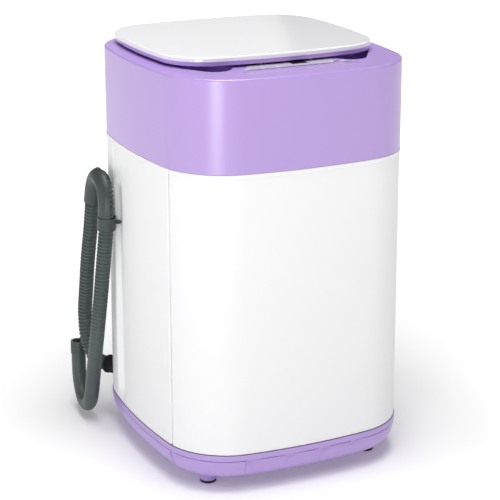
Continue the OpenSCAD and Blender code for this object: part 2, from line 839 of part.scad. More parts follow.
module drive_frame() color("#7C8087") difference() {
    union() {
        slab(rounded(box_points(drum, 190, 190), 20), frame_z, frame_t);
        translate([0, 0, frame_z]) linear_extrude(frame_t)
            polygon(capsule(drum, motor_at, 60, motor_r - 6, 16));
    }
    disc(drum, bearing_r + 7, frame_z - over, frame_t + 2 * over);
}

module clutch_housing() color("#A7ABB2")
    translate([drum[0], drum[1], 0]) rotate_extrude() polygon([
        [bearing_r, frame_z - 40], [bearing_r + 18, frame_z - 40], [bearing_r + 25, frame_z - 30],
        [bearing_r + 25, frame_z - 5], [bearing_r + 40, frame_z - 5], [bearing_r + 40, frame_z],
        [bearing_r, frame_z]]);

module shaft_bearings() color(steel)
    for (z = [frame_z - 36, frame_z - 12, tub_z - 5])
        pipe(drum, bearing_r, spin_r + run_gap, z, 9);

module tub_seal() color(dark) pipe(drum, bearing_r, spin_r + run_gap, tub_z + 4, 9);

module clutch_actuator() color(grey) {
    x = drum[0] - 78;
    block([x - 34, x], [drum_y - 24, drum_y + 24], [frame_z - 30, frame_z]);
    block([x, drum[0] - bearing_r - 25], [drum_y - 4, drum_y + 4], [frame_z - 20, frame_z - 14]);
}

module capacitor() color("#D8DADF")
    disc([body_w / 2 - 110, body_d / 2 - 105], 18, foot_h + wall, 62);

// ---- Water in and out ---------------------------------------------------------

pump_out = [pump_at[0], pump_at[1], pump_z + 44];
outlet_in = concat(outlet_skin - 18 * outlet_way, outlet_z);

module drain_pump() color(grey) difference() {
    union() {
        disc(pump_at, pump_r, pump_z, pump_h);
        disc(pump_at, spigot_r, pump_z + pump_h - over, 20);
        from_to(pump_out, outlet_in) cylinder(r = 10, h = pump_r + 12);
    }
    disc(pump_at, pump_r - 5, pump_z + 34, 22);
    disc(pump_at, spigot_r - 2.5, pump_z + 50, 40);
    from_to(pump_out, outlet_in) cylinder(r = 7.5, h = pump_r + 20);
}

module pump_impeller() color("#4C79B8") {
    disc(pump_at, pump_r - 10, pump_z + 36, 2);
    for (i = [0:5]) translate([pump_at[0], pump_at[1], pump_z + 37]) rotate([0, 0, 60 * i])
        translate([3, -1.5, 0]) cube([pump_r - 14, 3, 12]);
    disc(pump_at, 5, pump_z + 36, 14);
}

module sump_hose() color(dark)
    translate([pump_at[0], pump_at[1], pump_z + pump_h + 6])
        bellows(spigot_r + 4, spigot_r + 0.2, tub_z - 4 - pump_z - pump_h - 6, 6);

module inner_drain_hose() color(dark) {
    v = unit(outlet_in - pump_out);
    from = pump_out + (pump_r + 2) * v;
    from_to(from, outlet_in) bellows(13, 10.1, norm(outlet_in - from), 5);
}

module drain_outlet() color(dark) {
    along_outlet(-18) difference() {
        union() {
            cylinder(r = 15, h = 18 + outlet_reach);
            translate([0, 0, 18 + outlet_reach - 5]) cylinder(r = 16.5, h = 5);
        }
        translate([0, 0, -over]) cylinder(r = 10.5, h = 18 + outlet_reach + 2 * over);
    }
}

// The valve's screwed spigot stands in the niche, where a supply hose screws on
valve_w = 48;
valve_h = 28;
valve_y = niche_back - niche_wall;
module inlet_valve() color("#E8E8EC") {
    block([inlet_at[0] - valve_w / 2, inlet_at[0] + valve_w / 2], [valve_y - 28, valve_y],
        [deck_z - wall - valve_h, deck_z - wall]);
    translate([inlet_at[0], valve_y - 4, inlet_at[1]]) rotate([-90, 0, 0]) difference() {
        union() {
            cylinder(r = inlet_flange_r, h = 4 + niche_wall);
            cylinder(r = inlet_r, h = 4 + niche_wall + inlet_len);
        }
        translate([0, 0, 5]) cylinder(r = inlet_r - 3, h = 20);
    }
}

// The duct that leads water from the valve through the neck into the basket
module spout_block(shrink) {
    block([inlet_at[0] - valve_w / 2 - 38 + shrink, inlet_at[0] - valve_w / 2 - shrink],
        [drum_y + neck_r - 8 - (shrink > 0 ? over : 0), valve_y - 10 - shrink],
        [deck_z - wall - 20 + shrink, deck_z - wall - shrink]);
}

module inlet_spout() color("#E8E8EC") difference() {
    spout_block(0);
    spout_block(2);
}

module pressure_switch() color("#DADCE0")
    disc([-96, body_d / 2 - 48], 22, deck_z - wall - 22, 22);

module cord_gland() color(dark) {
    y = edge_y(gland_at[0], panel_inset);
    translate([gland_at[0], y - 10, gland_at[1]]) rotate([-90, 0, 0]) difference() {
        union() {
            cylinder(r = 9, h = 13);
            cylinder(r = 11, h = 6.5);
        }
        translate([0, 0, -over]) cylinder(r = 4, h = 20);
    }
}

// ---- Drain hose ----------------------------------------------------------------

// The direction of a route at its point i
function heading(route, i) =
    unit(route[min(i + 1, len(route) - 1)] - route[max(i - 1, 0)]);

// A cross-section, given as [radius, turn] pairs, set square to the route at point i
function section(route, i, shape) =
    let (t = heading(route, i), u = unit(cross([1, 0, 0], t)), v = cross(t, u))
    [for (s = shape) route[i] + s[0] * (cos(s[1]) * u + sin(s[1]) * v)];

module swept(route, shape) {
    loft([for (i = [0:len(route) - 1]) section(route, i, shape)]);
}

// A smooth curve through the route's points
function between(a, b, c, d, t) =
    0.5 * (2 * b + (c - a) * t + (2 * a - 5 * b + 4 * c - d) * t * t
        + (3 * b - a - 3 * c + d) * t * t * t);
function smooth(route, n) =
    let (last = len(route) - 1)
    concat(
        [for (i = [0:last - 1]) for (k = [0:n - 1])
            between(route[max(i - 1, 0)], route[i], route[i + 1], route[min(i + 2, last)], k / n)],
        [route[last]]);

module drain_hose() color(hose_grey)
    swept(smooth(hose_route, 2), [for (i = [0:9]) [hose_d / 2, 36 * i]]);

// A smooth channel that holds the hose's upper bend from outside
module hose_guide() color(hose_grey) {
    route = smooth([for (i = [guide_from:guide_to]) hose_route[i]], 3);
    inner = hose_d / 2 + 0.3;
    outer = hose_d / 2 + 3;
    swept(route, concat(
        [for (a = [0:18:180]) [outer, 180 + a]],
        [for (a = [180:-18:0]) [inner, 180 + a]]));
}

// The ring under the guide, and its tongue to the floor of the recess
clip_h = 23;
module hose_clip() color(dark) {
    top = hose_route[guide_to];
    way = unit(top - hose_route[guide_to + 1]);
    difference() {
        union() {
            from_to(top - (clip_h + part_gap) * way, top) cylinder(r = hose_d / 2 + 3.5, h = clip_h);
            block([top[0] + hose_d / 2, recess_skin + recess_depth],
                [recess_y[1] - 13, recess_y[1] - 1], [top[2] - 17, top[2] - 6]);
        }
        from_to(top - (clip_h + 3) * way, top) cylinder(r = hose_d / 2 + 1.2, h = clip_h + 6);
    }
}

module hose_end_cuff() color(dark) {
    route = smooth(hose_route, 2);
    last = len(route) - 1;
    way = heading(route, last);
    from_to(route[last] + part_gap / 4 * way, route[last] + 30 * way) difference() {
        cylinder(r = hose_d / 2 + 1.5, h = 24);
        translate([0, 0, 3]) cylinder(r = hose_d / 2 - 3, h = 30);
    }
}

base_pan();
feet();
front_panel();
left_panel();
right_panel();
rear_panel();
rear_service_cover();
service_screws();
top_rail();
top_cover();
control_overlay();
display_window();
control_board();
button_1();
button_2();
button_3();
button_4();
button_5();
button_6();
lid_shell();
lid_frame();
lid_hinge_pins();
lid_bumpers();
lid_switch();
outer_tub();
tub_cover_ring();
suspension_rods();
suspension_springs();
suspension_sockets();
wash_basket();
basket_hub();
balance_ring();
lint_filter();
pulsator();
pulsator_screw();
drive_shaft();
tub_pulley();
tub_seal();
shaft_bearings();
clutch_housing();
clutch_actuator();
drive_frame();
motor();
motor_pulley();
drive_belt();
capacitor();
drain_pump();
pump_impeller();
sump_hose();
inner_drain_hose();
drain_outlet();
inlet_valve();
inlet_spout();
pressure_switch();
cord_gland();
drain_hose();
hose_guide();
hose_clip();
hose_end_cuff();
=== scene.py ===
# %% [markdown]
# # A compact top-loading washing machine
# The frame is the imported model: every node is already in its place, in metres, with
# the front towards -Y. This lesson builds the visible skin round it, piece by piece,
# and gives every node that stays a finish of its own.

# %% Load the frame
import json
import math
import bpy
import bmesh
import numpy as np
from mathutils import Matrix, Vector
from mathutils.geometry import tessellate_polygon


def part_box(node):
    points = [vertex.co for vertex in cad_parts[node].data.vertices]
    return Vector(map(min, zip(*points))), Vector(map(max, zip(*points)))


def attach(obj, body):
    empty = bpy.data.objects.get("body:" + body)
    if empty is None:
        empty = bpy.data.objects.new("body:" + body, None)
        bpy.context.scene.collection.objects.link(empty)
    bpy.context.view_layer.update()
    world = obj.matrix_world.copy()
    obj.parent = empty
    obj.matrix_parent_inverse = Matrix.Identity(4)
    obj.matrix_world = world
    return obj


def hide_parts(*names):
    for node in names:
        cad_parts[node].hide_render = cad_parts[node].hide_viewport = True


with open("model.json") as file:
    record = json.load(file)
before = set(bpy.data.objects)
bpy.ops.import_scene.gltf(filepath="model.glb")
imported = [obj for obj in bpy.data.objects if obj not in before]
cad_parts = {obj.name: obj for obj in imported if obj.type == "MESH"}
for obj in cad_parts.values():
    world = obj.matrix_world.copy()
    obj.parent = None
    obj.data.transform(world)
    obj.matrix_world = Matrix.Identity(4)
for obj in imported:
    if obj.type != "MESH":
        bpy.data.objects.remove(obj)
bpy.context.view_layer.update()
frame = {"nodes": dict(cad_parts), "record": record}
nodes = frame["nodes"]
mm = 0.001

# %% [markdown]
# The camera stands low and to the left of the front, a long lens looking a little
# down. A long lens keeps the upright edges nearly parallel;
# the small shift sets the machine in the frame without tilting it further.

# %% Camera
lens_data = bpy.data.cameras.new("studio_camera")
lens_data.lens = 120.1
lens_data.sensor_width = 36.0
lens_data.shift_x = -0.0152
lens_data.shift_y = -0.1
camera = bpy.data.objects.new("studio_camera", lens_data)
camera.location = (-1.1634, -2.4635, 1.1899)
camera.rotation_euler = (math.radians(90 - 15.684), 0.0, math.radians(-25.533))
bpy.context.scene.collection.objects.link(camera)
bpy.context.scene.camera = camera
print("camera at", [round(v, 3) for v in camera.location])

# %% [markdown]
# Finishes come next. Each is one Principled shader: a broad noise shifts its colour
# and gloss by a few per cent, a fine noise raises a faint grain, and values that are
# the same everywhere sit on the shader itself. Object coordinates keep the grain at
# its true size on every piece.

# %% A maker of finishes
def tone(red, green, blue):
    """A screen colour, 0 to 255, as the linear colour a shader wants."""
    def linear(c):
        c = c / 255
        return c / 12.92 if c <= 0.04045 else ((c + 0.055) / 1.055) ** 2.4
    return (linear(red), linear(green), linear(blue), 1.0)


def finish(name, colour, roughness, grain=1400, raised=0.04, drift=0.03,
           metallic=0.0, coat=0.0, specular=0.5, stretch=(1, 1, 1), cloud=9.0):
    made = bpy.data.materials.new(name)
    made.use_nodes = True
    tree = made.node_tree
    shader = tree.nodes["Principled BSDF"]
    shader.inputs["Metallic"].default_value = metallic
    shader.inputs["Coat Weight"].default_value = coat
    shader.inputs["Coat Roughness"].default_value = 0.04
    shader.inputs["Specular IOR Level"].default_value = specular
    place = tree.nodes.new("ShaderNodeTexCoord")
    scale = tree.nodes.new("ShaderNodeMapping")
    scale.inputs["Scale"].default_value = stretch
    tree.links.new(place.outputs["Object"], scale.inputs["Vector"])
    broad = tree.nodes.new("ShaderNodeTexNoise")
    broad.inputs["Scale"].default_value = cloud
    fine = tree.nodes.new("ShaderNodeTexNoise")
    fine.inputs["Scale"].default_value = grain
    fine.inputs["Detail"].default_value = 3.0
    for noise in (broad, fine):
        tree.links.new(scale.outputs["Vector"], noise.inputs["Vector"])
    blend = tree.nodes.new("ShaderNodeMix")
    blend.data_type = "RGBA"
    blend.inputs["A"].default_value = [c * (1 - drift) for c in colour[:3]] + [1]
    blend.inputs["B"].default_value = [min(1, c * (1 + drift)) for c in colour[:3]] + [1]
    tree.links.new(broad.outputs["Fac"], blend.inputs["Factor"])
    tree.links.new(blend.outputs["Result"], shader.inputs["Base Color"])
    gloss = tree.nodes.new("ShaderNodeMapRange")
    gloss.inputs["To Min"].default_value = roughness * 0.9
    gloss.inputs["To Max"].default_value = roughness * 1.1
    tree.links.new(broad.outputs["Fac"], gloss.inputs["Value"])
    tree.links.new(gloss.outputs["Result"], shader.inputs["Roughness"])
    bump = tree.nodes.new("ShaderNodeBump")
    bump.inputs["Strength"].default_value = raised
    bump.inputs["Distance"].default_value = 0.0003
    tree.links.new(fine.outputs["Fac"], bump.inputs["Height"])
    tree.links.new(bump.outputs["Normal"], shader.inputs["Normal"])
    return made

# %% The washing machine's finishes, by the slot they fill
looks = {
    "white_enamel": finish("white_enamel", tone(245, 245, 246), 0.40,
        grain=420, raised=0.02, drift=0.006, specular=0.25),
    "lilac_plastic": finish("lilac_moulding", tone(180, 150, 216), 0.31,
        grain=1800, raised=0.03, drift=0.012, specular=1.0),
    "lid_white": finish("lid_glaze", tone(238, 238, 240), 0.08,
        grain=160, raised=0.0, drift=0.004),
    "lid_frame_lilac": finish("lid_frame_lilac", tone(196, 165, 236), 0.16,
        grain=1600, raised=0.02, drift=0.012, coat=0.5),
    "foot_rubber": finish("foot_rubber", tone(28, 28, 31), 0.62,
        grain=2600, raised=0.25, drift=0.12, specular=0.35),
    "hose_plastic": finish("hose_polypropylene", tone(72, 82, 81), 0.42,
        grain=1500, raised=0.10, drift=0.06),
    "silver_print": finish("silver_print", tone(205, 199, 213), 0.34,
        grain=5200, raised=0.05, drift=0.02, metallic=0.25),
    "display_black": finish("display_lens", tone(62, 56, 74), 0.10,
        grain=300, raised=0.0, drift=0.03, coat=1.0),
    "button_plastic": finish("key_plastic", tone(196, 190, 206), 0.36,
        grain=3800, raised=0.05, drift=0.02),
    "circuit_board": finish("circuit_board", tone(34, 92, 58), 0.45,
        grain=900, raised=0.2, drift=0.15, cloud=160),
    "zinc_steel": finish("zinc_plate", tone(176, 178, 184), 0.30,
        grain=1200, raised=0.05, drift=0.08, metallic=1.0, cloud=60),
    "grey_plastic": finish("grey_nylon", tone(108, 111, 116), 0.48,
        grain=1700, raised=0.15, drift=0.06),
    "tub_plastic": finish("tub_polypropylene", tone(222, 224, 228), 0.42,
        grain=1300, raised=0.10, drift=0.03),
    "stainless": finish("brushed_stainless", tone(205, 207, 212), 0.26,
        grain=260, raised=0.08, drift=0.06, metallic=1.0, stretch=(1, 1, 14), cloud=40),
    "hub_cast": finish("cast_aluminium", tone(160, 163, 169), 0.46,
        grain=1100, raised=0.35, drift=0.10, metallic=1.0),
    "ring_plastic": finish("ring_plastic", tone(226, 227, 232), 0.28,
        grain=1700, raised=0.05, drift=0.02, coat=0.2),
    "filter_blue": finish("filter_blue", tone(124, 160, 200), 0.40,
        grain=1500, raised=0.10, drift=0.06),
    "motor_body": finish("motor_paint", tone(120, 124, 131), 0.40,
        grain=1000, raised=0.15, drift=0.08, metallic=0.3),
    "capacitor_shell": finish("capacitor_can", tone(198, 200, 206), 0.30,
        grain=800, raised=0.05, drift=0.05, metallic=0.9),
}
clip_grey = finish("clip_nylon", tone(58, 66, 66), 0.40, grain=1900, raised=0.12, drift=0.06)
print("finishes", len(bpy.data.materials))


# %% [markdown]
# Every node that stays takes the finish of its slot in the record, so nothing shows
# a plain grey. Pieces built below replace the ones that the eye lands on.

# %% Finishes for the nodes
slot_of = {s["node"]: s["material_slot"] for s in frame["record"]["subparts"]}
for name, node in nodes.items():
    node.data.materials.clear()
    node.data.materials.append(looks[slot_of[name]])
print("dressed", len(nodes), "nodes")

# %% [markdown]
# A few helpers make a piece out of a mesh. One turns faces outwards, shades them smooth
# up to a fold angle and leans each normal on its larger faces, so that flat faces stay
# flat beside a fillet. Another hands the piece to its body.

# %% From mesh to piece
def linked(name, data):
    thing = bpy.data.objects.new(name, data)
    bpy.context.scene.collection.objects.link(thing)
    return thing


def baked(name, shape):
    """A mesh made from a bmesh, which is used up."""
    mesh = bpy.data.meshes.new(name)
    shape.to_mesh(mesh)
    shape.free()
    return mesh


def loaded(*meshes):
    """A bmesh that holds copies of some meshes."""
    shape = bmesh.new()
    for mesh in meshes:
        shape.from_mesh(mesh)
    return shape


def to_object(name, shape, material, fold=38, weigh=True):
    bmesh.ops.remove_doubles(shape, verts=shape.verts, dist=1e-6)
    bmesh.ops.recalc_face_normals(shape, faces=shape.faces)
    mesh = baked(name, shape)
    mesh.materials.append(material)
    mesh.shade_smooth()
    mesh.set_sharp_from_angle(angle=math.radians(fold))
    piece = linked(name, mesh)
    if weigh:
        lean = piece.modifiers.new("lean", "WEIGHTED_NORMAL")
        lean.keep_sharp = True
        lean.weight = 100
        settle(piece)
    return piece


def settle(piece):
    """Applies a piece's modifiers."""
    graph = bpy.context.evaluated_depsgraph_get()
    done = bpy.data.meshes.new_from_object(piece.evaluated_get(graph), depsgraph=graph)
    piece.modifiers.clear()
    piece.data = done
    return piece


def belong(piece, node, body="cabinet"):
    """Puts a piece on its body and hides the node that it stands for."""
    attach(piece, body)
    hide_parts(node)
    print(f"{piece.name}: {len(piece.data.polygons)} faces on {body}")
    return piece


def add(name, shape, node, body="cabinet", slot=None, look=None, fold=38, weigh=True):
    """A piece with the finish of its node's slot, or of the slot given, unless it has a look of its own."""
    look = look or looks[slot or slot_of[node]]
    return belong(to_object(name, shape, look, fold, weigh), node, body)


def in_mm(*pairs):
    return [(a * mm, b * mm) for a, b in pairs]


def ray(turn):
    return Vector((math.cos(turn), math.sin(turn)))

# %% [markdown]
# The drain hose leaves the low outlet, climbs the side, turns over in its guide, drops
# past the clip to a loop above the floor and ends in a cuff. It is the one cord here.
# A smooth curve carries it, and Geometry Nodes raise the ribs: the curve is resampled
# finely and its scale dips once per rib, less and less towards the loop.

# %% The hose's route
route = [Vector(p) * mm for p in (
    (-199, 178, 100), (-206.4, 190.8, 100.8), (-214, 203, 107), (-221, 211, 124),
    (-225, 214, 150), (-227, 213, 190), (-227, 203, 240), (-227, 189, 300),
    (-226, 173, 360), (-226, 160, 410), (-226, 150, 440), (-226, 138, 456),
    (-226, 122, 463), (-226, 106, 459), (-226, 93, 445), (-226.6, 87.2, 422),
    (-227.4, 88, 401.5), (-228.1, 90.4, 376), (-230, 101, 320), (-232, 112, 260),
    (-235, 124, 195), (-237, 136, 140), (-238, 147, 95), (-238, 158, 58),
    (-237, 172, 36), (-236, 192, 25), (-234.5, 213, 29), (-233, 230, 45),
    (-232.4, 238, 66), (-232, 240.4, 86), (-231.6, 241, 104))]


def between(a, b, c, d, t):
    return 0.5 * (2 * b + (c - a) * t + (2 * a - 5 * b + 4 * c - d) * t * t
                  + (3 * b - a - 3 * c + d) * t * t * t)


def smooth(points, steps):
    last = len(points) - 1
    out = [between(points[max(i - 1, 0)], points[i], points[i + 1],
                   points[min(i + 2, last)], k / steps)
           for i in range(last) for k in range(steps)]
    return out + [points[last]]


hose_line = smooth(route, 8)

# %% A small kit for Geometry Nodes
def new_tree(name, sizes):
    tree = bpy.data.node_groups.new(name, "GeometryNodeTree")
    tree.interface.new_socket("Geometry", in_out="INPUT", socket_type="NodeSocketGeometry")
    tree.interface.new_socket("Geometry", in_out="OUTPUT", socket_type="NodeSocketGeometry")
    for label, kind in sizes.items():
        tree.interface.new_socket(label, in_out="INPUT", socket_type="NodeSocket" + kind)
    return tree, tree.nodes.new("NodeGroupInput").outputs, tree.nodes.new("NodeGroupOutput").inputs


def step(tree, kind, feeds=None, **settings):
    """Adds a node, sets its own settings, and links or sets the inputs that are given."""
    made = tree.nodes.new(kind if kind[:6] in ("Shader", "Functi") else "GeometryNode" + kind)
    for key, value in settings.items():
        setattr(made, key, value)
    for key, value in (feeds or {}).items():
        if isinstance(value, bpy.types.NodeSocket):
            tree.links.new(value, made.inputs[key])
        else:
            made.inputs[key].default_value = value
    return made.outputs


def math_step(tree, operation, *values):
    return step(tree, "ShaderNodeMath", dict(enumerate(values)), operation=operation)["Value"]


def grown(tree, base, values):
    """The plain mesh that a tree makes from a base object, which is used up."""
    modifier = base.modifiers.new(tree.name, "NODES")
    modifier.node_group = tree
    key = {item.name: item.identifier for item in tree.interface.items_tree
           if item.in_out == "INPUT"}
    for label, value in values.items():
        modifier[key[label]] = value
    bpy.context.scene.collection.objects.link(base)
    graph = bpy.context.evaluated_depsgraph_get()
    mesh = bpy.data.meshes.new_from_object(base.evaluated_get(graph), depsgraph=graph)
    bpy.data.objects.remove(base)
    return mesh

# %% The ribbed hose
def line_object(name, points):
    data = bpy.data.curves.new(name, "CURVE")
    data.dimensions = "3D"
    spline = data.splines.new("POLY")
    spline.points.add(len(points) - 1)
    for knot, p in zip(spline.points, points):
        knot.co = (*p, 1)
    return bpy.data.objects.new(name, data)


ribs, sizes, out = new_tree("ribbed_hose", {
    "Radius": "Float", "Pitch": "Float", "Deep": "Float", "Shallow": "Float",
    "Fade from": "Float", "Fade to": "Float", "Round": "Int", "Finish": "Material"})
span = math_step(ribs, "DIVIDE", sizes["Pitch"], 9.0)
fine_line = step(ribs, "ResampleCurve",
                 {"Curve": sizes["Geometry"], "Length": span}, mode="LENGTH")["Curve"]
along = step(ribs, "SplineParameter")["Length"]
turn = math_step(ribs, "MULTIPLY", math_step(ribs, "DIVIDE", along, sizes["Pitch"]), 2 * math.pi)
valley = math_step(ribs, "POWER", math_step(
    ribs, "MULTIPLY_ADD", math_step(ribs, "COSINE", turn), 0.5, 0.5), 1.6)
depth = step(ribs, "ShaderNodeMapRange", {
    "Value": along, "From Min": sizes["Fade from"], "From Max": sizes["Fade to"],
    "To Min": sizes["Deep"], "To Max": sizes["Shallow"]}, interpolation_type="SMOOTHSTEP")["Result"]
dip = math_step(ribs, "DIVIDE", math_step(ribs, "MULTIPLY", depth, valley), sizes["Radius"])
ring = step(ribs, "CurvePrimitiveCircle",
            {"Resolution": sizes["Round"], "Radius": sizes["Radius"]})["Curve"]
tube = step(ribs, "CurveToMesh", {
    "Curve": fine_line, "Profile Curve": ring, "Scale": math_step(ribs, "SUBTRACT", 1.0, dip),
    "Fill Caps": True})["Mesh"]
dressed = step(ribs, "SetMaterial", {
    "Geometry": step(ribs, "RealizeInstances", {"Geometry": tube})["Geometry"],
    "Material": sizes["Finish"]})["Geometry"]
ribs.links.new(dressed, out["Geometry"])

ribbed = grown(ribs, line_object("hose_line", hose_line), {
    "Radius": 12.95 * mm, "Pitch": 6.8 * mm, "Deep": 2.4 * mm, "Shallow": 0.12 * mm,
    "Fade from": 0.60, "Fade to": 0.80, "Round": 26, "Finish": looks["hose_plastic"]})
shape = loaded(ribbed)
hose = add("ribbed_drain_hose", shape, "drain_hose", fold=80, weigh=False)

# %% [markdown]
# The guide is a smooth channel that holds the hose in its bend from outside. Its
# section is a C with a round bead along each lip. A mesh sweep is simple here: one
# section is set square to the route at every step, and the two ends are closed.

# %% Sweeping a section along a line
def sweep(shape, points, section, lift=None):
    """Sets (across, out) pairs square to the line; out is away from the cabinet."""
    rings = []
    last = len(points) - 1
    for i, p in enumerate(points):
        ahead = (points[min(i + 1, last)] - points[max(i - 1, 0)]).normalized()
        side = Vector((1, 0, 0)).cross(ahead).normalized()
        away = ahead.cross(side)
        swell = lift(i / last) if lift else 1.0
        rings.append([shape.verts.new(p + side * (a * swell) + away * (b * swell))
                      for a, b in section])
    close_rings(shape, rings, caps=True)


def close_rings(shape, rings, caps=False, loop=False):
    """Faces between rings of equal count, each ring closed on itself."""
    count = len(rings[0])
    pairs = list(zip(rings, rings[1:])) + ([(rings[-1], rings[0])] if loop else [])
    for low, high in pairs:
        for i in range(count):
            j = (i + 1) % count
            shape.faces.new((low[i], low[j], high[j], high[i]))
    if caps:
        shape.faces.new(list(reversed(rings[0])))
        shape.faces.new(rings[-1])


# %% The hose guide
def c_section(inner, outer, bead, steps=14):
    """An open ring over the outer half, thicker at its lips."""
    out = []
    for i in range(steps + 1):
        t = i / steps
        turn = math.pi + math.pi * t
        r = outer + bead * (math.exp(-(t / 0.07) ** 2) + math.exp(-((1 - t) / 0.07) ** 2))
        out.append((r * math.cos(turn), r * math.sin(turn)))
    for i in range(steps + 1):
        turn = 2 * math.pi - math.pi * i / steps
        out.append((inner * math.cos(turn), inner * math.sin(turn)))
    return out


guide_line = smooth(route[9:17], 10)
shape = bmesh.new()
sweep(shape, guide_line, c_section(13.3 * mm, 15.2 * mm, 0.8 * mm))
rib_line = [p + Vector((-14.9 * mm, 0, 0)) for p in guide_line[6:-12]]
sweep(shape, rib_line, [(3.2 * mm * math.cos(a), 0.9 * mm * math.sin(a))
                        for a in np.linspace(0, 2 * math.pi, 12, endpoint=False)],
      lift=lambda t: max(0.05, math.sin(math.pi * t)) ** 0.35)
guide = add("smooth_hose_guide", shape, "hose_guide", look=clip_grey, fold=50)

# %% [markdown]
# The ring under the guide is turned from one profile, with a snap ridge on each rim,
# and its tongue is a small rounded bar. The cuff at the free end is turned the same
# way, with three grip ridges and a hollow mouth.

# %% Turned pieces
def turned(shape, profile, steps=48, centre=(0, 0, 0), way=(0, 0, 1), loop=True):
    """Spins (radius, height) pairs about an axis; a closed profile gives a closed skin."""
    way = Vector(way).normalized()
    side = way.orthogonal().normalized()
    other = way.cross(side)
    rings = []
    for i in range(steps):
        a = 2 * math.pi * i / steps
        spoke = side * math.cos(a) + other * math.sin(a)
        rings.append([shape.verts.new(Vector(centre) + spoke * r + way * h) for r, h in profile])
    count = len(profile)
    for low, high in zip(rings, rings[1:] + rings[:1]):
        for i in range(count if loop else count - 1):
            j = (i + 1) % count
            shape.faces.new((low[i], high[i], high[j], low[j]))


def rounded_bar(shape, low, high, r):
    """A box with every edge rounded."""
    made = bmesh.ops.create_cube(shape, size=1.0)["verts"]
    low, high = Vector(low), Vector(high)
    for v in made:
        v.co = Vector(((low[k] + high[k]) / 2 + v.co[k] * (high[k] - low[k]) for k in range(3)))
    edges = list({e for v in made for e in v.link_edges})
    bmesh.ops.bevel(shape, geom=edges, offset=r, segments=3, affect="EDGES", profile=0.5)


def rim_profile(inner, outer, z0, z1, ridge=0.0, edge=0.6 * mm):
    """Half section of a short ring with eased edges and a ridge at each rim."""
    e = edge
    return [(inner, z0 + e), (inner + e, z0), (outer + ridge - e, z0), (outer + ridge, z0 + e),
            (outer + ridge, z0 + 3 * e), (outer, z0 + 4 * e), (outer, z1 - 4 * e),
            (outer + ridge, z1 - 3 * e), (outer + ridge, z1 - e), (outer + ridge - e, z1),
            (inner + e, z1), (inner, z1 - e)]


# %% The clip ring and the cuff
clip_top = route[16]
clip_way = (route[16] - route[17]).normalized()
shape = bmesh.new()
turned(shape, rim_profile(14.2 * mm, 15.9 * mm, -23.3 * mm, -0.5 * mm, ridge=0.6 * mm),
       centre=clip_top, way=clip_way)
clip_low, clip_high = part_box("hose_clip")
rounded_bar(shape, (clip_top[0] + 15.0 * mm, 81 * mm, 387.5 * mm), (clip_high[0], 89 * mm, 392.5 * mm), 1.2 * mm)
for z in (-17, -9):
    p = clip_top + clip_way * z * mm
    rounded_bar(shape, (p.x - 2.5 * mm, p.y - 16.3 * mm, p.z - 2 * mm), (p.x + 5 * mm, p.y - 14.6 * mm, p.z + 2 * mm), 0.5 * mm)
clip = add("hose_clip_ring", shape, "hose_clip", look=clip_grey)

tip = hose_line[-1]
tip_way = (hose_line[-1] - hose_line[-2]).normalized()
grip = in_mm((13.05, 0.3), (14.0, 0.3), (14.4, 1.2))
for i in range(4):
    z = (4 + i * 4) * mm
    grip += [(13.6 * mm, z), (14.4 * mm, z + 1 * mm), (14.4 * mm, z + 2.4 * mm), (13.6 * mm, z + 3.2 * mm)]
grip += in_mm((14.3, 22), (14.0, 23.6), (11.4, 23.9), (10.4, 23),
         (10.2, 6), (0.4, 5), (0.4, 0.4))
shape = bmesh.new()
turned(shape, grip, centre=tip, way=tip_way)
cuff = add("hose_cuff", shape, "hose_end_cuff", slot="hose_plastic")

# %% [markdown]
# The cabinet is a rectangle whose sides bow out and whose corners are large arcs. Each
# point of that outline is kept as a centre, a radius and a direction, so the same
# point can be asked for at any inset, and its direction is also the surface's normal.

# %% The outline as stations
def bow_radius(half, bow):
    return (half * half + bow * bow) / (2 * bow)


class Outline:
    def __init__(self, w, d, r, bow, y=0.0):
        self.rx, self.ry, self.r, self.y = bow_radius(d / 2, bow), bow_radius(w / 2, bow), r, y
        self.cx = Vector((w / 2 - self.rx, 0))
        self.cy = Vector((0, d / 2 - self.ry))
        near, far = self.ry - r, self.rx - r
        gap = self.cx - self.cy
        run = (near ** 2 - far ** 2 + gap.length ** 2) / (2 * gap.length)
        u = gap.normalized()
        self.k = self.cy + u * run + Vector((u.y, -u.x)) * math.sqrt(near ** 2 - run ** 2)
        if self.k.x < 0:
            self.k = self.cy + u * run - Vector((u.y, -u.x)) * math.sqrt(near ** 2 - run ** 2)
        self.ax = math.atan2(self.k.y, self.k.x - self.cx.x)
        self.ay = math.atan2(self.k.y - self.cy.y, self.k.x)

    def quarter(self, side, corner):
        spans = ((self.cx, self.rx, 0, self.ax, side), (self.k, self.r, self.ax, self.ay, corner),
                 (self.cy, self.ry, self.ay, math.pi / 2, side))
        return [(c, r, a + (b - a) * i / n) for c, r, a, b, n in spans for i in range(n)] + [
            (self.cy, self.ry, math.pi / 2)]

    def stations(self, side=24, corner=28):
        """(centre, radius, direction) all the way round, from +X towards +Y."""
        first = [(Vector(c), r, Vector((math.cos(a), math.sin(a)))) for c, r, a in self.quarter(side, corner)]
        def flip(rows, sx, sy):
            return [(Vector((c.x * sx, c.y * sy)), r, Vector((u.x * sx, u.y * sy))) for c, r, u in rows]
        return (first[:-1] + flip(first, -1, 1)[:0:-1] + flip(first, -1, -1)[:-1]
                + flip(first, 1, -1)[:0:-1])

    def at_y(self, y, side):
        """The station at a distance y, on the left (-1) or right (1) side."""
        join = self.k.y + self.r * math.sin(self.ax)
        c, r = (self.cx, self.rx) if abs(y) < join else (self.k, self.r)
        a = math.asin((abs(y) - c.y) / r)
        s = math.copysign(1, y)
        return (Vector((c.x * side, c.y * s)), r, Vector((math.cos(a) * side, math.sin(a) * s)))


def spot(station, inset, z, y=0.0):
    c, r, u = station
    p = c + u * (r - inset)
    return Vector((p.x, p.y + y, z))


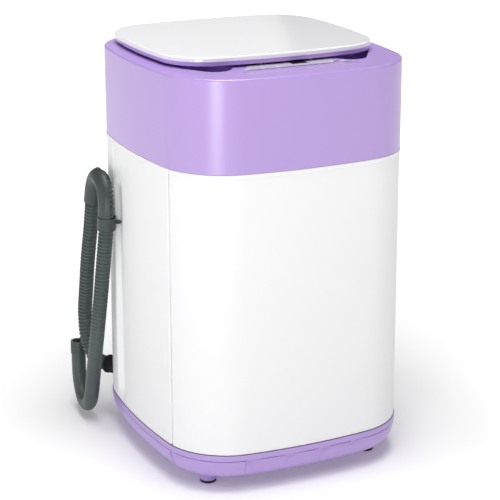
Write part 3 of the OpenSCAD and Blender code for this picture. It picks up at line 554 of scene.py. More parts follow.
cabinet = Outline(432 * mm, 455 * mm, 113 * mm, 26 * mm)
around = cabinet.stations()
print("outline", len(around), "stations, corner centre", [round(v, 4) for v in cabinet.k])

# %% Skins round the outline
def girdle(shape, stations, profile, loop=True, y=0.0):
    """Runs an (inset, height) profile round the stations; loop closes the profile."""
    rings = [[shape.verts.new(spot(s, inset, z, y)) for s in stations] for inset, z in profile]
    for low, high in list(zip(rings, rings[1:])) + ([(rings[-1], rings[0])] if loop else []):
        for i in range(len(stations)):
            j = (i + 1) % len(stations)
            shape.faces.new((low[i], low[j], high[j], high[i]))
    return rings


# %% [markdown]
# The top cover is one moulding: a band with an eased rim, a flat deck, the loading
# neck and two finger pockets. Lofted rings give each wall its fillet, and the flat
# parts between them are filled as a plate with holes, so the whole skin is closed.

# %% Plates with holes
deck = 684 * mm
drum = Vector((0, 8 * mm))


def circle(centre, r, count=72):
    return [Vector((centre[0] + r * math.cos(2 * math.pi * i / count),
                    centre[1] + r * math.sin(2 * math.pi * i / count))) for i in range(count)]


def capsule(p, q, r, count=18):
    p, q = Vector(p), Vector(q)
    way = math.atan2(q.y - p.y, q.x - p.x)
    out = []
    for c, start in ((p, way + math.pi / 2), (q, way - math.pi / 2)):
        out += [c + Vector((math.cos(start + math.pi * i / count), math.sin(start + math.pi * i / count))) * r
                for i in range(count + 1)]
    return out


def rounded_outline(points, r, count=6):
    out = []
    for i, p in enumerate(points):
        p, before, after = Vector(p), Vector(points[i - 1]), Vector(points[(i + 1) % len(points)])
        u, v = (before - p).normalized(), (after - p).normalized()
        half = u.angle(v) / 2
        c = p + (u + v).normalized() * (r / math.sin(half))
        a = math.atan2(*(p + u * (r / math.tan(half)) - c).yx)
        out += [c + Vector((math.cos(a + (math.pi - 2 * half) * k / count),
                            math.sin(a + (math.pi - 2 * half) * k / count))) * r for k in range(count + 1)]
    return out


def ring_at(shape, points, z):
    return [shape.verts.new((p.x, p.y, z)) for p in points]


def plate(shape, outer, holes):
    """Fills the flat part between an outer ring of vertices and the holes' rings."""
    loops = [outer] + holes
    flat = [v for loop in loops for v in loop]
    for corners in tessellate_polygon([[v.co.copy() for v in loop] for loop in loops]):
        shape.faces.new([flat[i] for i in corners])


def well(shape, outline, levels):
    """Rings of an outline that takes a growth, one per (growth, height)."""
    rings = [ring_at(shape, outline(grow), z) for grow, z in levels]
    close_rings(shape, rings)
    return rings


def eased(r, z, depth, steps=5):
    """(growth, height) pairs of a rounded mouth of radius r that goes down to depth."""
    return [(r - r * math.sin(math.pi / 2 * i / steps), z - r + r * math.cos(math.pi / 2 * i / steps))
            for i in range(steps + 1)] + [(0, z - depth)]

# %% The top cover's skin
button_xs = [x * mm for x in (-78, -52, -26, 46, 68, 90)]
button_y = -156.5 * mm
shape = bmesh.new()
rim_r = 3.6 * mm
band = [(3.6 * mm, deck - 3 * mm), (3.6 * mm, 534 * mm), (1.2 * mm, 534 * mm), (0.6 * mm, 534.8 * mm)] + [
    (0.6 * mm + rim_r - rim_r * math.cos(math.pi / 2 * i / 8), deck - rim_r + rim_r * math.sin(math.pi / 2 * i / 8))
    for i in range(9)]
band_rings = girdle(shape, around, band, loop=False)
top_holes, under_holes = [], []


def neck(grow):
    return circle(drum, 130 * mm + grow, 112)


rings = well(shape, neck, eased(4 * mm, deck, 37 * mm) + [(0.8 * mm, 646 * mm), (3 * mm, 646.6 * mm), (3 * mm, deck - 3 * mm)])
top_holes.append(rings[0]); under_holes.append(rings[-1])
for side in (-1, 1):
    def pocket(grow, side=side):
        return capsule((side * 142 * mm, -89.5 * mm), (side * 120 * mm, -123.5 * mm), 26.5 * mm + grow)
    floor = [(-6 * mm + 6 * mm * math.cos(a), 656 * mm + 6 * mm - 6 * mm * math.sin(a))
             for a in np.linspace(0, math.pi / 2, 6)]
    rings = well(shape, pocket, eased(2.6 * mm, deck, 21 * mm) + floor)
    top_holes.append(rings[0])
    shape.faces.new(rings[-1])
    rings = well(shape, pocket, [(2.5 * mm, deck - 3 * mm), (2.5 * mm, 655 * mm), (0.5 * mm, 653.5 * mm)])
    under_holes.append(rings[0])
    shape.faces.new(rings[-1])
for x in button_xs:
    rings = well(shape, lambda grow, x=x: circle((x, button_y), 6.4 * mm, 24), [(0, deck), (0, deck - 3 * mm)])
    top_holes.append(rings[0]); under_holes.append(rings[1])
window = rounded_outline(in_mm((6, -146), (30, -146), (30, -129), (6, -129)), 1 * mm, 2)
rings = well(shape, lambda grow: window, [(0, deck), (0, deck - 3 * mm)])
top_holes.append(rings[0]); under_holes.append(rings[1])
plate(shape, band_rings[-1], top_holes)
plate(shape, band_rings[0], under_holes)
cover = to_object("top_cover_moulding", shape, looks["lilac_plastic"], weigh=False)
print("deck holes", len(top_holes))

# %% [markdown]
# The inlet niche is sunk into the band's back with a Boolean, which suits one square
# cut through a curved wall. The hinge lugs and the brackets that carry the hanging
# rods are solid shapes of their own that reach into the moulding.

# %% The niche, the lugs and the brackets
def solid_box(name, low, high):
    shape = bmesh.new()
    for v in bmesh.ops.create_cube(shape, size=1.0)["verts"]:
        v.co = Vector([(low[k] + high[k]) / 2 * mm + v.co[k] * (high[k] - low[k]) * mm for k in range(3)])
    mesh = bpy.data.meshes.new(name)
    shape.to_mesh(mesh)
    shape.free()
    made = bpy.data.objects.new(name, mesh)
    bpy.context.scene.collection.objects.link(made)
    return made


def solid_rod(name, r, start, way, length, count=40):
    shape = bmesh.new()
    turned(shape, [(0, 0), (r, 0), (r, length), (0, length)], count, start, way, loop=False)
    bmesh.ops.remove_doubles(shape, verts=shape.verts, dist=1e-7)
    bmesh.ops.recalc_face_normals(shape, faces=shape.faces)
    mesh = bpy.data.meshes.new(name)
    shape.to_mesh(mesh)
    shape.free()
    made = bpy.data.objects.new(name, mesh)
    bpy.context.scene.collection.objects.link(made)
    return made


def carve(piece, tool, operation="DIFFERENCE"):
    cut = piece.modifiers.new("carve", "BOOLEAN")
    cut.object = tool
    cut.operation = operation
    cut.solver = "EXACT"
    settle(piece)
    bpy.data.objects.remove(tool)
    return piece


niche_back = 227.5 - cabinet.ry / mm + math.sqrt((cabinet.ry / mm) ** 2 - 90 ** 2) - 22
carve(cover, solid_box("niche_wall", (61.5, niche_back - 2.5, 635.5), (118.5, 214.5, 681.4)), "UNION")
carve(cover, solid_box("niche_room", (64, niche_back, 638), (116, 240, 681)))
carve(cover, solid_rod("niche_bore", 16.6 * mm, (90 * mm, 170 * mm, 660 * mm), (0, 1, 0), 50 * mm))
carve(cover, solid_box("spout_slot", (28, 128, 661), (66, 176, 680.8)))
shape = loaded(cover.data)
for side in (-1, 1):
    for end in (-1, 1):
        x = side * 118 * mm + end * 13.4 * mm
        lug = [Vector((-4 * mm, -6.5 * mm)), Vector((4 * mm, -6.5 * mm))] + [
            Vector((4 * mm * math.cos(a), 4 * mm * math.sin(a))) for a in np.linspace(0, math.pi, 13)]
        close_rings(shape, [[shape.verts.new((x + dx, 207 * mm + p.x, 690 * mm + p.y)) for p in lug]
                            for dx in (-4 * mm, 4 * mm)], caps=True)
for sx in (-1, 1):
    for sy in (-1, 1):
        wall_side = [s for s in around if s[2].x * sx > 0.2 and s[2].y * sy > 0.2]
        outer = [spot(s, 2 * mm, 0).xy for s in wall_side]
        outer = [p for p in outer if (p - drum).length > 197 * mm]
        inner = [drum + (p - drum).normalized() * 195.5 * mm for p in reversed(outer)]
        close_rings(shape, [ring_at(shape, outer + inner, z * mm) for z in (570, 578)], caps=True)
bpy.data.objects.remove(cover)
cover = add("top_cover_moulding", shape, "top_cover", fold=32)

# %% [markdown]
# The trim rail is a thin white strip between the lilac band and the panels. It stands
# a hair proud of both, which draws the fine line under the band.

# %% The trim rail
shape = bmesh.new()
girdle(shape, around, in_mm((5.8, 528), (1.0, 528), (0.3, 528.3), (0.02, 529),
                       (0.02, 532.6), (0.3, 533.3), (1.0, 533.7), (2.2, 533.8),
                       (5.8, 533.8)))
rail = add("trim_rail", shape, "top_rail", fold=50)

# %% [markdown]
# Each panel is thin sheet steel, folded inwards with a small radius where it meets its
# neighbour, so that a seam reads as a soft groove. The panel's plan is a path of points
# and normals; the left one also has a long pressed recess behind the hose.

# %% Folded sheet panels
sheet = 1.2 * mm
skin = 1.5 * mm


def folded_path(stations, fold=2.6 * mm, flange=10 * mm, steps=5):
    """(point, normal, on the skin) along a panel's plan, folds and flanges included."""
    pts = [(s[0] + s[2] * (s[1] - skin), s[2]) for s in stations]
    (p0, n0), (p1, n1) = pts[0], pts[-1]
    t0 = Vector((-n0.y, n0.x))
    t1 = Vector((-n1.y, n1.x))
    c0, c1 = p0 + t0 * fold - n0 * fold, p1 - t1 * fold - n1 * fold
    path = [(c0 - t0 * fold - n0 * (flange - fold), -t0, False)]
    for i in range(steps + 1):
        a = math.pi / 2 * i / steps
        d = -t0 * math.cos(a) + n0 * math.sin(a)
        path.append((c0 + d * fold, d, False))
    path += [(p, n, True) for p, n in pts[1:-1]
             if (p - p0).length > 1.6 * fold and (p - p1).length > 1.6 * fold]
    for i in range(steps + 1):
        a = math.pi / 2 * i / steps
        d = n1 * math.cos(a) + t1 * math.sin(a)
        path.append((c1 + d * fold, d, False))
    path.append((c1 + t1 * fold - n1 * (flange - fold), t1, False))
    return path


def panel(name, path, heights, dent=None):
    shape = bmesh.new()
    grids = []
    for depth in (0, sheet):
        grids.append([[shape.verts.new((*(p - n * (depth + (dent(p, z) if dent and flat else 0))), z))
                       for p, n, flat in path] for z in heights])
    outer, inner = grids
    rows, cols = len(heights), len(path)
    for r in range(rows - 1):
        for c in range(cols - 1):
            shape.faces.new((outer[r][c], outer[r][c + 1], outer[r + 1][c + 1], outer[r + 1][c]))
            shape.faces.new((inner[r][c + 1], inner[r][c], inner[r + 1][c], inner[r + 1][c + 1]))
    border = [(0, c) for c in range(cols)] + [(r, cols - 1) for r in range(1, rows)] + [
        (rows - 1, c) for c in range(cols - 2, -1, -1)] + [(r, 0) for r in range(rows - 2, 0, -1)]
    for (a, b), (c, d) in zip(border, border[1:] + border[:1]):
        shape.faces.new((outer[a][b], inner[a][b], inner[c][d], outer[c][d]))
    return to_object(name, shape, looks["white_enamel"], fold=50, weigh=False)


def between_y(low, high, side):
    found = [s for s in cabinet.stations(40, 40) if s[2].x * side > 0 and low + 1e-4 < spot(s, 0, 0).y < high - 1e-4]
    ends = [cabinet.at_y(low, side), cabinet.at_y(high, side)]
    found = sorted(found + ends, key=lambda s: spot(s, 0, 0).y * side)
    return found


front_y, rear_y, gap = -133 * mm, 97 * mm, 1.3 * mm
front_run = [cabinet.at_y(front_y - gap, -1)] + [
    s for s in cabinet.stations(40, 40) if spot(s, 0, 0).y < front_y - gap - 1e-4] + [cabinet.at_y(front_y - gap, 1)]
all_round = cabinet.stations(40, 40)
half = len(all_round) // 2
rear_run = [cabinet.at_y(rear_y + gap, 1)] + [
    s for s in all_round[:half + 1] if spot(s, 0, 0).y > rear_y + gap + 1e-4] + [cabinet.at_y(rear_y + gap, -1)]
panel_low, panel_high = 68.05 * mm, 527.95 * mm
ends = [panel_low, panel_high]
belong(panel("front_panel_sheet", folded_path(front_run), ends), "front_panel")
right_run = between_y(front_y + gap, rear_y - gap, 1)
belong(panel("right_panel_sheet", folded_path(right_run), ends), "right_panel")

# %% The left panel and its pressed recess
def recess(p, z):
    near = min(max(z, 96 * mm), 450 * mm)
    inside = 20 * mm - math.hypot(p.y - 72 * mm, z - near)
    share = min(1.0, max(0.0, (inside + 3 * mm) / (11 * mm)))
    return 8 * mm * share * share * (3 - 2 * share)


left_run = [s for s in between_y(front_y + gap, rear_y - gap, -1) if not 44 * mm < spot(s, 0, 0).y < 95.5 * mm]
left_run += [cabinet.at_y(y * mm, -1) for y in np.arange(45, 95.4, 1.5)]
left_run = sorted(left_run, key=lambda s: -spot(s, 0, 0).y)
heights = [panel_low] + [z * mm for z in np.arange(70, 104, 1.5)] + [z * mm for z in np.arange(110, 442, 12)] + [
    z * mm for z in np.arange(444, 477, 1.5)] + [panel_high]
belong(panel("left_panel_sheet", folded_path(left_run), heights, recess), "left_panel")

# %% [markdown]
# The back panel has a window for servicing, a bore for the supply cord's gland and one
# for the drain outlet. They are cut with Booleans, because each is a single opening.

# %% The back panel
back = panel("back_panel_sheet", folded_path(rear_run), ends)
carve(back, solid_box("service_window", (-106, 157, 172), (106, 240, 398)))
carve(back, solid_rod("gland_bore", 9.3 * mm, (112 * mm, 180 * mm, 130 * mm), (0, 1, 0), 80 * mm))
carve(back, solid_rod("outlet_bore", 16 * mm, (-177 * mm, 140 * mm, 100 * mm), (-0.5, 0.866, 0), 60 * mm))
belong(back, "rear_panel")

# %% [markdown]
# The base is a shallow bowl under an upright lip. A thin groove parts the two, a narrow
# rebate on top leaves the dark line under the panels, and a few ramped notches step in
# and fade out along the front. The notches are pressed into the bowl by moving its
# points, so the girdle gets extra stations at each step.

# %% The base bowl
notch_x = [-112 * mm, -44 * mm, 16 * mm, 78 * mm]


def station_at_x(x):
    """A station on the front side at a distance x."""
    join = cabinet.k.x + cabinet.r * math.cos(cabinet.ay)
    c, r = (cabinet.cy, cabinet.ry) if abs(x) < join else (cabinet.k, cabinet.r)
    a = math.acos((abs(x) - c.x) / r)
    s = math.copysign(1, x)
    return (Vector((c.x * s, -c.y)), r, Vector((math.cos(a) * s, -math.sin(a))))


def turn_of(s):
    return math.atan2(s[2].y, s[2].x)


base_run = list(cabinet.stations(34, 40))
for x in notch_x:
    base_run += [station_at_x(x - 0.25 * mm), station_at_x(x + 0.25 * mm), station_at_x(x + 2 * mm)]
side_notch = [cabinet.at_y(-126.6 * mm, -1), cabinet.at_y(-127.2 * mm, -1), cabinet.at_y(-129 * mm, -1)]
base_run += side_notch
base_run.sort(key=turn_of)


def pressed(p, z):
    """How deep the notches go in at a point of the bowl."""
    fade = min(1, max(0, (z - 26 * mm) / (12 * mm))) if z < 56.3 * mm else 0
    if p.y < -150 * mm:
        for x in notch_x:
            u = (p.x - x) / (30 * mm)
            if 0 < u < 1:
                return 3.2 * mm * (1 if z > 50 * mm and u < 0.6 else (1 - u) ** 1.1) * fade
    u = (-126.9 * mm - p.y) / (16 * mm)
    if p.x < -150 * mm and 0 < u < 1:
        return 2.6 * mm * (1 - u) ** 1.1 * fade
    return 0


shape = bmesh.new()
bowl = [(26 * mm * (1 - math.sin(t)) + 1.2 * mm * math.sin(t), 22 * mm + 33.6 * mm * (1 - math.cos(t)))
        for t in np.linspace(0, math.pi / 2, 15)]
lip = in_mm((1.6, 56.0), (2.4, 56.3), (2.4, 57.1), (0.6, 57.3), (0.02, 57.9),
       (0.02, 66.3), (0.35, 66.8), (0.9, 66.9), (1.2, 65.4), (4, 65.4),
       (5, 57), (13.4, 36), (29, 25))
rings = []
for inset, z in bowl + lip:
    ring = []
    for s in base_run:
        at = spot(s, inset, z)
        n = s[2]
        d = pressed(at, z)
        ring.append(shape.verts.new((at.x - n.x * d, at.y - n.y * d, z)))
    rings.append(ring)
close_rings(shape, rings)
low_hole, high_hole = (ring_at(shape, circle(drum, 95 * mm, 96), z * mm) for z in (22, 25))
plate(shape, rings[0], [low_hole])
plate(shape, rings[-1], [high_hole])
close_rings(shape, [low_hole, high_hole])
for sx in (-1, 1):
    for sy in (-1, 1):
        turned(shape, in_mm((0.01, 4), (12.6, 4), (13.4, 4.8), (14, 9), (15.6, 15),
                       (19, 20), (25, 22.6), (25, 24), (0.01, 24)),
               56, (sx * 148 * mm, sy * 148.5 * mm, 0))
base = add("base_bowl", shape, "base_pan", fold=34)

# %% [markdown]
# A foot is a rubber pad with a chamfered tread and three grip rings underneath.

# %% The feet
shape = bmesh.new()
tread = in_mm((0.01, 0.3), (3.4, 0.3), (3.8, 0.02), (5.4, 0.02), (5.8, 0.6),
         (8, 0.6), (8.4, 0.02), (12.4, 0.02), (13.4, 0.9), (13.4, 3),
         (12.9, 3.9), (0.01, 3.9))
for sx in (-1, 1):
    for sy in (-1, 1):
        turned(shape, tread, 48, (sx * 148 * mm, sy * 148.5 * mm, 0))
feet = add("rubber_feet", shape, "feet", fold=30)

# %% [markdown]
# The lid is a white shell with a soft upper edge over a lilac frame. The frame's back
# is cut straight, where two knuckles turn on pins between the deck's lugs.

# %% The lid
lid = Outline(382 * mm, 350 * mm, 80 * mm, 18 * mm, y=36.5 * mm)
lid_run = lid.stations(26, 26)
shape = bmesh.new()
edge = 3.0 * mm
shell = in_mm((2.6, 699.2), (2.6, 695.02), (0.6, 695.02), (0.05, 695.6)) + [
    (edge + 0.05 * mm - edge * math.cos(a), 703 * mm - edge + edge * math.sin(a)) for a in np.linspace(0, math.pi / 2, 9)]
rings = girdle(shape, lid_run, shell, loop=False, y=lid.y)
shape.faces.new(rings[-1])
shape.faces.new(rings[0])
lid_top = add("lid_top_shell", shape, "lid_shell", "lid", fold=34)

shape = bmesh.new()
rings = []
skirt = in_mm((8, 692.4), (8, 688.8), (7.2, 688.1), (3.6, 688.1)) + [
    (3.5 * mm - 1.4 * mm * math.sin(a), 689.5 * mm - 1.4 * mm * math.cos(a)) for a in np.linspace(0, math.pi / 2, 6)] + [(2.1 * mm, 694.98 * mm)]
for inset, z in skirt:
    ring = []
    for s in lid_run:
        at = spot(s, inset, z, lid.y)
        at.y = min(at.y, 201.4 * mm - (inset - 2 * mm))
        ring.append(shape.verts.new(at))
    rings.append(ring)
close_rings(shape, rings, caps=True)
for side in (-1, 1):
    x = side * 118 * mm
    turned(shape, in_mm((2.55, -8.9), (3.6, -8.9), (3.95, -8.5), (3.95, 8.5),
                   (3.6, 8.9), (2.55, 8.9)), 32, (x, 207 * mm, 690 * mm), (1, 0, 0))
    rounded_bar(shape, (x - 8.9 * mm, 193 * mm, 691 * mm), (x + 8.9 * mm, 205 * mm, 694.6 * mm), 0.8 * mm)
    rounded_bar(shape, (x - 8.9 * mm, 193 * mm, 688.3 * mm), (x + 8.9 * mm, 203.6 * mm, 693 * mm), 0.8 * mm)
lid_under = add("lid_lilac_frame", shape, "lid_frame", "lid", fold=34)

# %% [markdown]
# The control strip is a thin satin overlay with rounded corners. The keys are low
# domes that stand in its holes, each on its own body, and the display is a dark lens.

# %% The control strip
shape = bmesh.new()
strip = rounded_outline(in_mm((-100, -187.5), (112, -187.5), (78, -128.5), (-66, -128.5)), 8 * mm, 10)
inner = rounded_outline(in_mm((-99.3, -187.1), (111.3, -187.1), (77.8, -128.9), (-65.8, -128.9)), 7.6 * mm, 10)
low_ring, mid_ring, high_ring = ring_at(shape, strip, deck), ring_at(shape, strip, deck + 0.5 * mm), ring_at(shape, inner, deck + 0.78 * mm)
close_rings(shape, [low_ring, mid_ring, high_ring])
tops, unders = [], []
for x in button_xs:
    hole = well(shape, lambda grow, x=x: circle((x, button_y), 6.4 * mm + grow, 32), [(0.25 * mm, deck + 0.78 * mm), (0, deck + 0.5 * mm), (0, deck)])
    tops.append(hole[0]); unders.append(hole[-1])
plate(shape, high_ring, tops)
plate(shape, low_ring, unders)
overlay = add("control_strip", shape, "control_overlay", fold=30)

shape = bmesh.new()
lens_rings = [ring_at(shape, rounded_outline([(x0 * mm, y0 * mm), (x1 * mm, y0 * mm), (x1 * mm, y1 * mm), (x0 * mm, y1 * mm)], 1.2 * mm, 4), z * mm)
              for x0, x1, y0, y1, z in ((4, 32, -148, -127, 684.75), (4, 32, -148, -127, 684.95), (4.5, 31.5, -147.5, -127.5, 685.08))]
close_rings(shape, lens_rings, caps=True)
lens = add("display_lens", shape, "display_window", fold=30)

for i, x in enumerate(button_xs, 1):
    shape = bmesh.new()
    key = in_mm((0.01, 678), (7.6, 678), (7.6, 680.4), (5.95, 680.4), (5.95, 685.1),
           (5.6, 685.45), (4.4, 685.5), (4.1, 685.25), (3.7, 685.25), (2, 685.4), (0.01, 685.45))
    turned(shape, key, 40, (x, button_y, 0))
    add(f"key_cap_{i}", shape, f"button_{i}", f"button_{i}", fold=40)

# %% [markdown]
# Under the lid, the wash basket is a sheet drum whose wall is pierced all over. One tile
# with a round hole is laid out in staggered rows by Geometry Nodes, then the flat sheet
# is wrapped round the drum; strips close its two edges. The dish below is turned.

# %% The pierced tile and its edge strip
def plain_object(name, vertices, faces):
    mesh = bpy.data.meshes.new(name)
    mesh.from_pydata(vertices, [], faces)
    return bpy.data.objects.new(name, mesh)


def pierced_tile(w, h, r, t):
    """A flat tile, 8 points round its rim and 8 round its hole, front and back."""
    rim = [(w / 2, 0), (w / 2, h / 2), (0, h / 2), (-w / 2, h / 2), (-w / 2, 0), (-w / 2, -h / 2), (0, -h / 2), (w / 2, -h / 2)]
    hole = [(r * math.cos(math.pi * i / 4), r * math.sin(math.pi * i / 4)) for i in range(8)]
    points = [(x, d, z) for d in (0, t) for x, z in rim + hole]
    faces = []
    for i in range(8):
        j = (i + 1) % 8
        faces += [(i, j, 8 + j, 8 + i), (16 + j, 16 + i, 24 + i, 24 + j), (8 + i, 8 + j, 24 + j, 24 + i)]
    return plain_object("pierced_tile", points, faces)


columns, rows = 72, 19
basket_low, basket_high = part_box("wash_basket")
wall_r = (basket_high[0] - basket_low[0]) / 2 - 0.05 * mm
tile_w = 2 * math.pi * wall_r / columns
wall_low = basket_low[2] + 40 * mm
tile_h = (basket_high[2] - 24 * mm - wall_low) / rows
tile = pierced_tile(tile_w, tile_h, 2.5 * mm, 0.9 * mm)
strip_piece = plain_object("edge_strip", [(-tile_w / 2, 0, 0), (0, 0, 0), (tile_w / 2, 0, 0), (-tile_w / 2, 0.9 * mm, 0),
                                          (0, 0.9 * mm, 0), (tile_w / 2, 0.9 * mm, 0)], [(0, 1, 4, 3), (1, 2, 5, 4)])

# %% Wrapping the sheet
wrap, sizes, out = new_tree("pierced_drum", {
    "Tile": "Object", "Strip": "Object", "Columns": "Int", "Rows": "Int", "Tile width": "Float",
    "Tile height": "Float", "Radius": "Float", "Low": "Float", "Finish": "Material"})
each = math_step(wrap, "MULTIPLY", sizes["Columns"], sizes["Rows"])
spots = step(wrap, "Points", {"Count": each})["Points"]
index = step(wrap, "InputIndex")["Index"]
row = math_step(wrap, "FLOOR", math_step(wrap, "DIVIDE", math_step(wrap, "ADD", index, 0.5), sizes["Columns"]))
column = math_step(wrap, "MODULO", index, sizes["Columns"])
stagger = math_step(wrap, "MULTIPLY", math_step(wrap, "MODULO", row, 2.0), 0.5)


def laid(tree, points, across, up):
    place = step(tree, "ShaderNodeCombineXYZ", {
        "X": math_step(tree, "MULTIPLY", across, sizes["Tile width"]), "Z": up})["Vector"]
    return step(tree, "SetPosition", {"Geometry": points, "Position": place})["Geometry"]


def stamped(tree, points, thing):
    shape = step(tree, "ObjectInfo", {"Object": sizes[thing]})["Geometry"]
    return step(tree, "InstanceOnPoints", {"Points": points, "Instance": shape})["Instances"]


middle = math_step(wrap, "MULTIPLY", math_step(wrap, "ADD", row, 0.5), sizes["Tile height"])
tiles = stamped(wrap, laid(wrap, spots, math_step(wrap, "ADD", column, stagger), middle), "Tile")
line = step(wrap, "Points", {"Count": sizes["Columns"]})["Points"]
low_edge = stamped(wrap, laid(wrap, line, index, 0.0), "Strip")
top = math_step(wrap, "MULTIPLY", sizes["Rows"], sizes["Tile height"])
high_edge = stamped(wrap, laid(wrap, line, index, top), "Strip")
joined = wrap.nodes.new("GeometryNodeJoinGeometry")
for part in (high_edge, low_edge, tiles):
    wrap.links.new(part, joined.inputs["Geometry"])
flat = step(wrap, "RealizeInstances", {"Geometry": joined.outputs["Geometry"]})["Geometry"]
here = step(wrap, "ShaderNodeSeparateXYZ", {"Vector": step(wrap, "InputPosition")["Position"]})
angle = math_step(wrap, "DIVIDE", here["X"], sizes["Radius"])
far = math_step(wrap, "SUBTRACT", sizes["Radius"], here["Y"])
bent = step(wrap, "ShaderNodeCombineXYZ", {
    "X": math_step(wrap, "MULTIPLY", math_step(wrap, "COSINE", angle), far),
    "Y": math_step(wrap, "MULTIPLY_ADD", math_step(wrap, "SINE", angle), far, drum.y),
    "Z": math_step(wrap, "ADD", here["Z"], sizes["Low"])})["Vector"]
round_sheet = step(wrap, "SetPosition", {"Geometry": flat, "Position": bent})["Geometry"]
sewn = step(wrap, "MergeByDistance", {"Geometry": round_sheet, "Distance": 0.00002})["Geometry"]
wrap.links.new(step(wrap, "SetMaterial", {"Geometry": sewn, "Material": sizes["Finish"]})["Geometry"], out["Geometry"])

sheet_mesh = grown(wrap, plain_object("drum_seed", [(0, 0, 0)], []), {
    "Tile": tile, "Strip": strip_piece, "Columns": columns, "Rows": rows, "Tile width": tile_w,
    "Tile height": tile_h, "Radius": wall_r, "Low": wall_low, "Finish": looks["stainless"]})
for used in (tile, strip_piece):
    bpy.data.objects.remove(used)
shape = loaded(sheet_mesh)
z0, r0 = basket_low[2], wall_r
dish = [(24.2 * mm, z0 + 0.05 * mm), (r0 - 14 * mm, z0 + 0.05 * mm)] + [
    (r0 - 14 * mm + 14 * mm * math.sin(a), z0 + 14 * mm - 13.95 * mm * math.cos(a)) for a in np.linspace(0.15, math.pi / 2, 8)] + [
    (r0, wall_low + 0.3 * mm), (r0 - 0.9 * mm, wall_low + 0.3 * mm), (r0 - 0.9 * mm, z0 + 15 * mm)] + [
    (r0 - 14 * mm + 13 * mm * math.sin(a), z0 + 14 * mm - 12.4 * mm * math.cos(a)) for a in np.linspace(math.pi / 2 - 0.1, 0.1, 7)] + [
    (24.2 * mm, z0 + 1.8 * mm)]
turned(shape, dish, 96, (0, drum.y, 0))
z1 = basket_high[2]
turned(shape, [(r0, z1 - 24.3 * mm), (r0, z1 - 0.05 * mm), (r0 - 0.9 * mm, z1 - 0.05 * mm), (r0 - 0.9 * mm, z1 - 24.3 * mm)],
       96, (0, drum.y, 0))
basket = add("pierced_wash_basket", shape, "wash_basket", "basket", fold=30, weigh=False)

# %% [markdown]
# The balance ring closes the basket's mouth; it is hollow and filled with brine, and
# its top carries shallow ribs. The tub's cover ring sits just above it. The pulsator is
# a turned dish with six curved vanes.

# %% Ring and pulsator
ring_low, ring_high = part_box("balance_ring")
r_in, r_out, z0, z1 = 132.1 * mm, (ring_high[0] - ring_low[0]) / 2 - 0.1 * mm, ring_low[2], ring_high[2]
shape = bmesh.new()
turned(shape, [(r_in, z0 + 4 * mm), (r_in + 1 * mm, z0 + 1 * mm), (r_in + 3 * mm, z0 + 0.1 * mm), (r_out - 0.6 * mm, z0 + 0.1 * mm),
               (r_out, z0 + 0.8 * mm), (r_out, z1 - 4 * mm), (r_out - 0.8 * mm, z1 - 2.2 * mm), (r_out - 3 * mm, z1 - 0.2 * mm),
               (r_out - 8 * mm, z1 - 0.2 * mm), (r_out - 9 * mm, z1 - 1.6 * mm), (r_in + 12 * mm, z1 - 1.6 * mm),
               (r_in + 11 * mm, z1 - 0.1 * mm), (r_in + 4 * mm, z1 - 0.1 * mm), (r_in + 1.2 * mm, z1 - 1.2 * mm), (r_in, z1 - 4 * mm)],
       96, (0, drum.y, 0))
for i in range(36):
    a = 2 * math.pi * i / 36
    way, side = Vector((math.cos(a), math.sin(a), 0)), Vector((-math.sin(a), math.cos(a), 0))
    centre = Vector((0, drum.y, 0))
    corners = [centre + way * (r_in + 11.6 * mm) + side * s * mm for s in (-0.9, 0.9)] + [
        centre + way * (r_out - 8.4 * mm) + side * s * mm for s in (0.9, -0.9)]
    close_rings(shape, [[shape.verts.new((p.x, p.y, z)) for p in corners] for z in (z1 - 2.2 * mm, z1 - 0.5 * mm)], caps=True)
balance = add("ribbed_balance_ring", shape, "balance_ring", "basket", fold=30)

puls_low, puls_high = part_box("pulsator")
z0 = puls_low[2]
shape = bmesh.new()
turned(shape, [(6.05 * mm, z0 + 0.05 * mm), (121 * mm, z0 + 0.05 * mm), (125.5 * mm, z0 + 2.2 * mm), (127.8 * mm, z0 + 4 * mm),
               (127.7 * mm, z0 + 5.4 * mm), (126.4 * mm, z0 + 7.2 * mm), (122 * mm, z0 + 8.1 * mm), (96 * mm, z0 + 9.8 * mm),
               (66 * mm, z0 + 11.4 * mm), (50 * mm, z0 + 12.8 * mm), (43 * mm, z0 + 14.6 * mm), (38.6 * mm, z0 + 19 * mm),
               (35.6 * mm, z0 + 25 * mm), (33.4 * mm, z0 + 28.6 * mm), (29 * mm, z0 + 31 * mm), (20 * mm, z0 + 32.6 * mm),
               (10.6 * mm, z0 + 33 * mm), (10.1 * mm, z0 + 32.4 * mm), (10.1 * mm, z0 + 27.9 * mm), (6.05 * mm, z0 + 27.9 * mm)],
       84, (0, drum.y, 0))
for i in range(6):
    rings = []
    for t in np.linspace(0, 1, 13):
        r = (30 + 86 * t) * mm
        top = z0 + (33.0 - 18.6 * t ** 0.8) * mm
        foot = z0 + 3 * mm
        half = (3.6 - 1.0 * t) * mm
        turn = math.radians(60 * i)
        way, side = Vector((math.cos(turn), math.sin(turn), 0)), Vector((-math.sin(turn), math.cos(turn), 0))
        mid = Vector((0, drum.y, 0)) + way * r
        profile = [(-half, foot), (-half, top - 2.4 * mm), (-half * 0.72, top - 0.8 * mm), (0, top), (half * 0.72, top - 0.8 * mm),
                   (half, top - 2.4 * mm), (half, foot)]
        rings.append([shape.verts.new((*(mid + side * s).xy, z)) for s, z in profile])
    close_rings(shape, rings, caps=True)
pulsator = add("vaned_pulsator", shape, "pulsator", "agitator", fold=35)

# %% [markdown]
# Screw heads, louvres, filter bars and springs repeat, so one small tree stamps a thing
# on every point of a base mesh. The other tree sweeps a wire along a spiral.

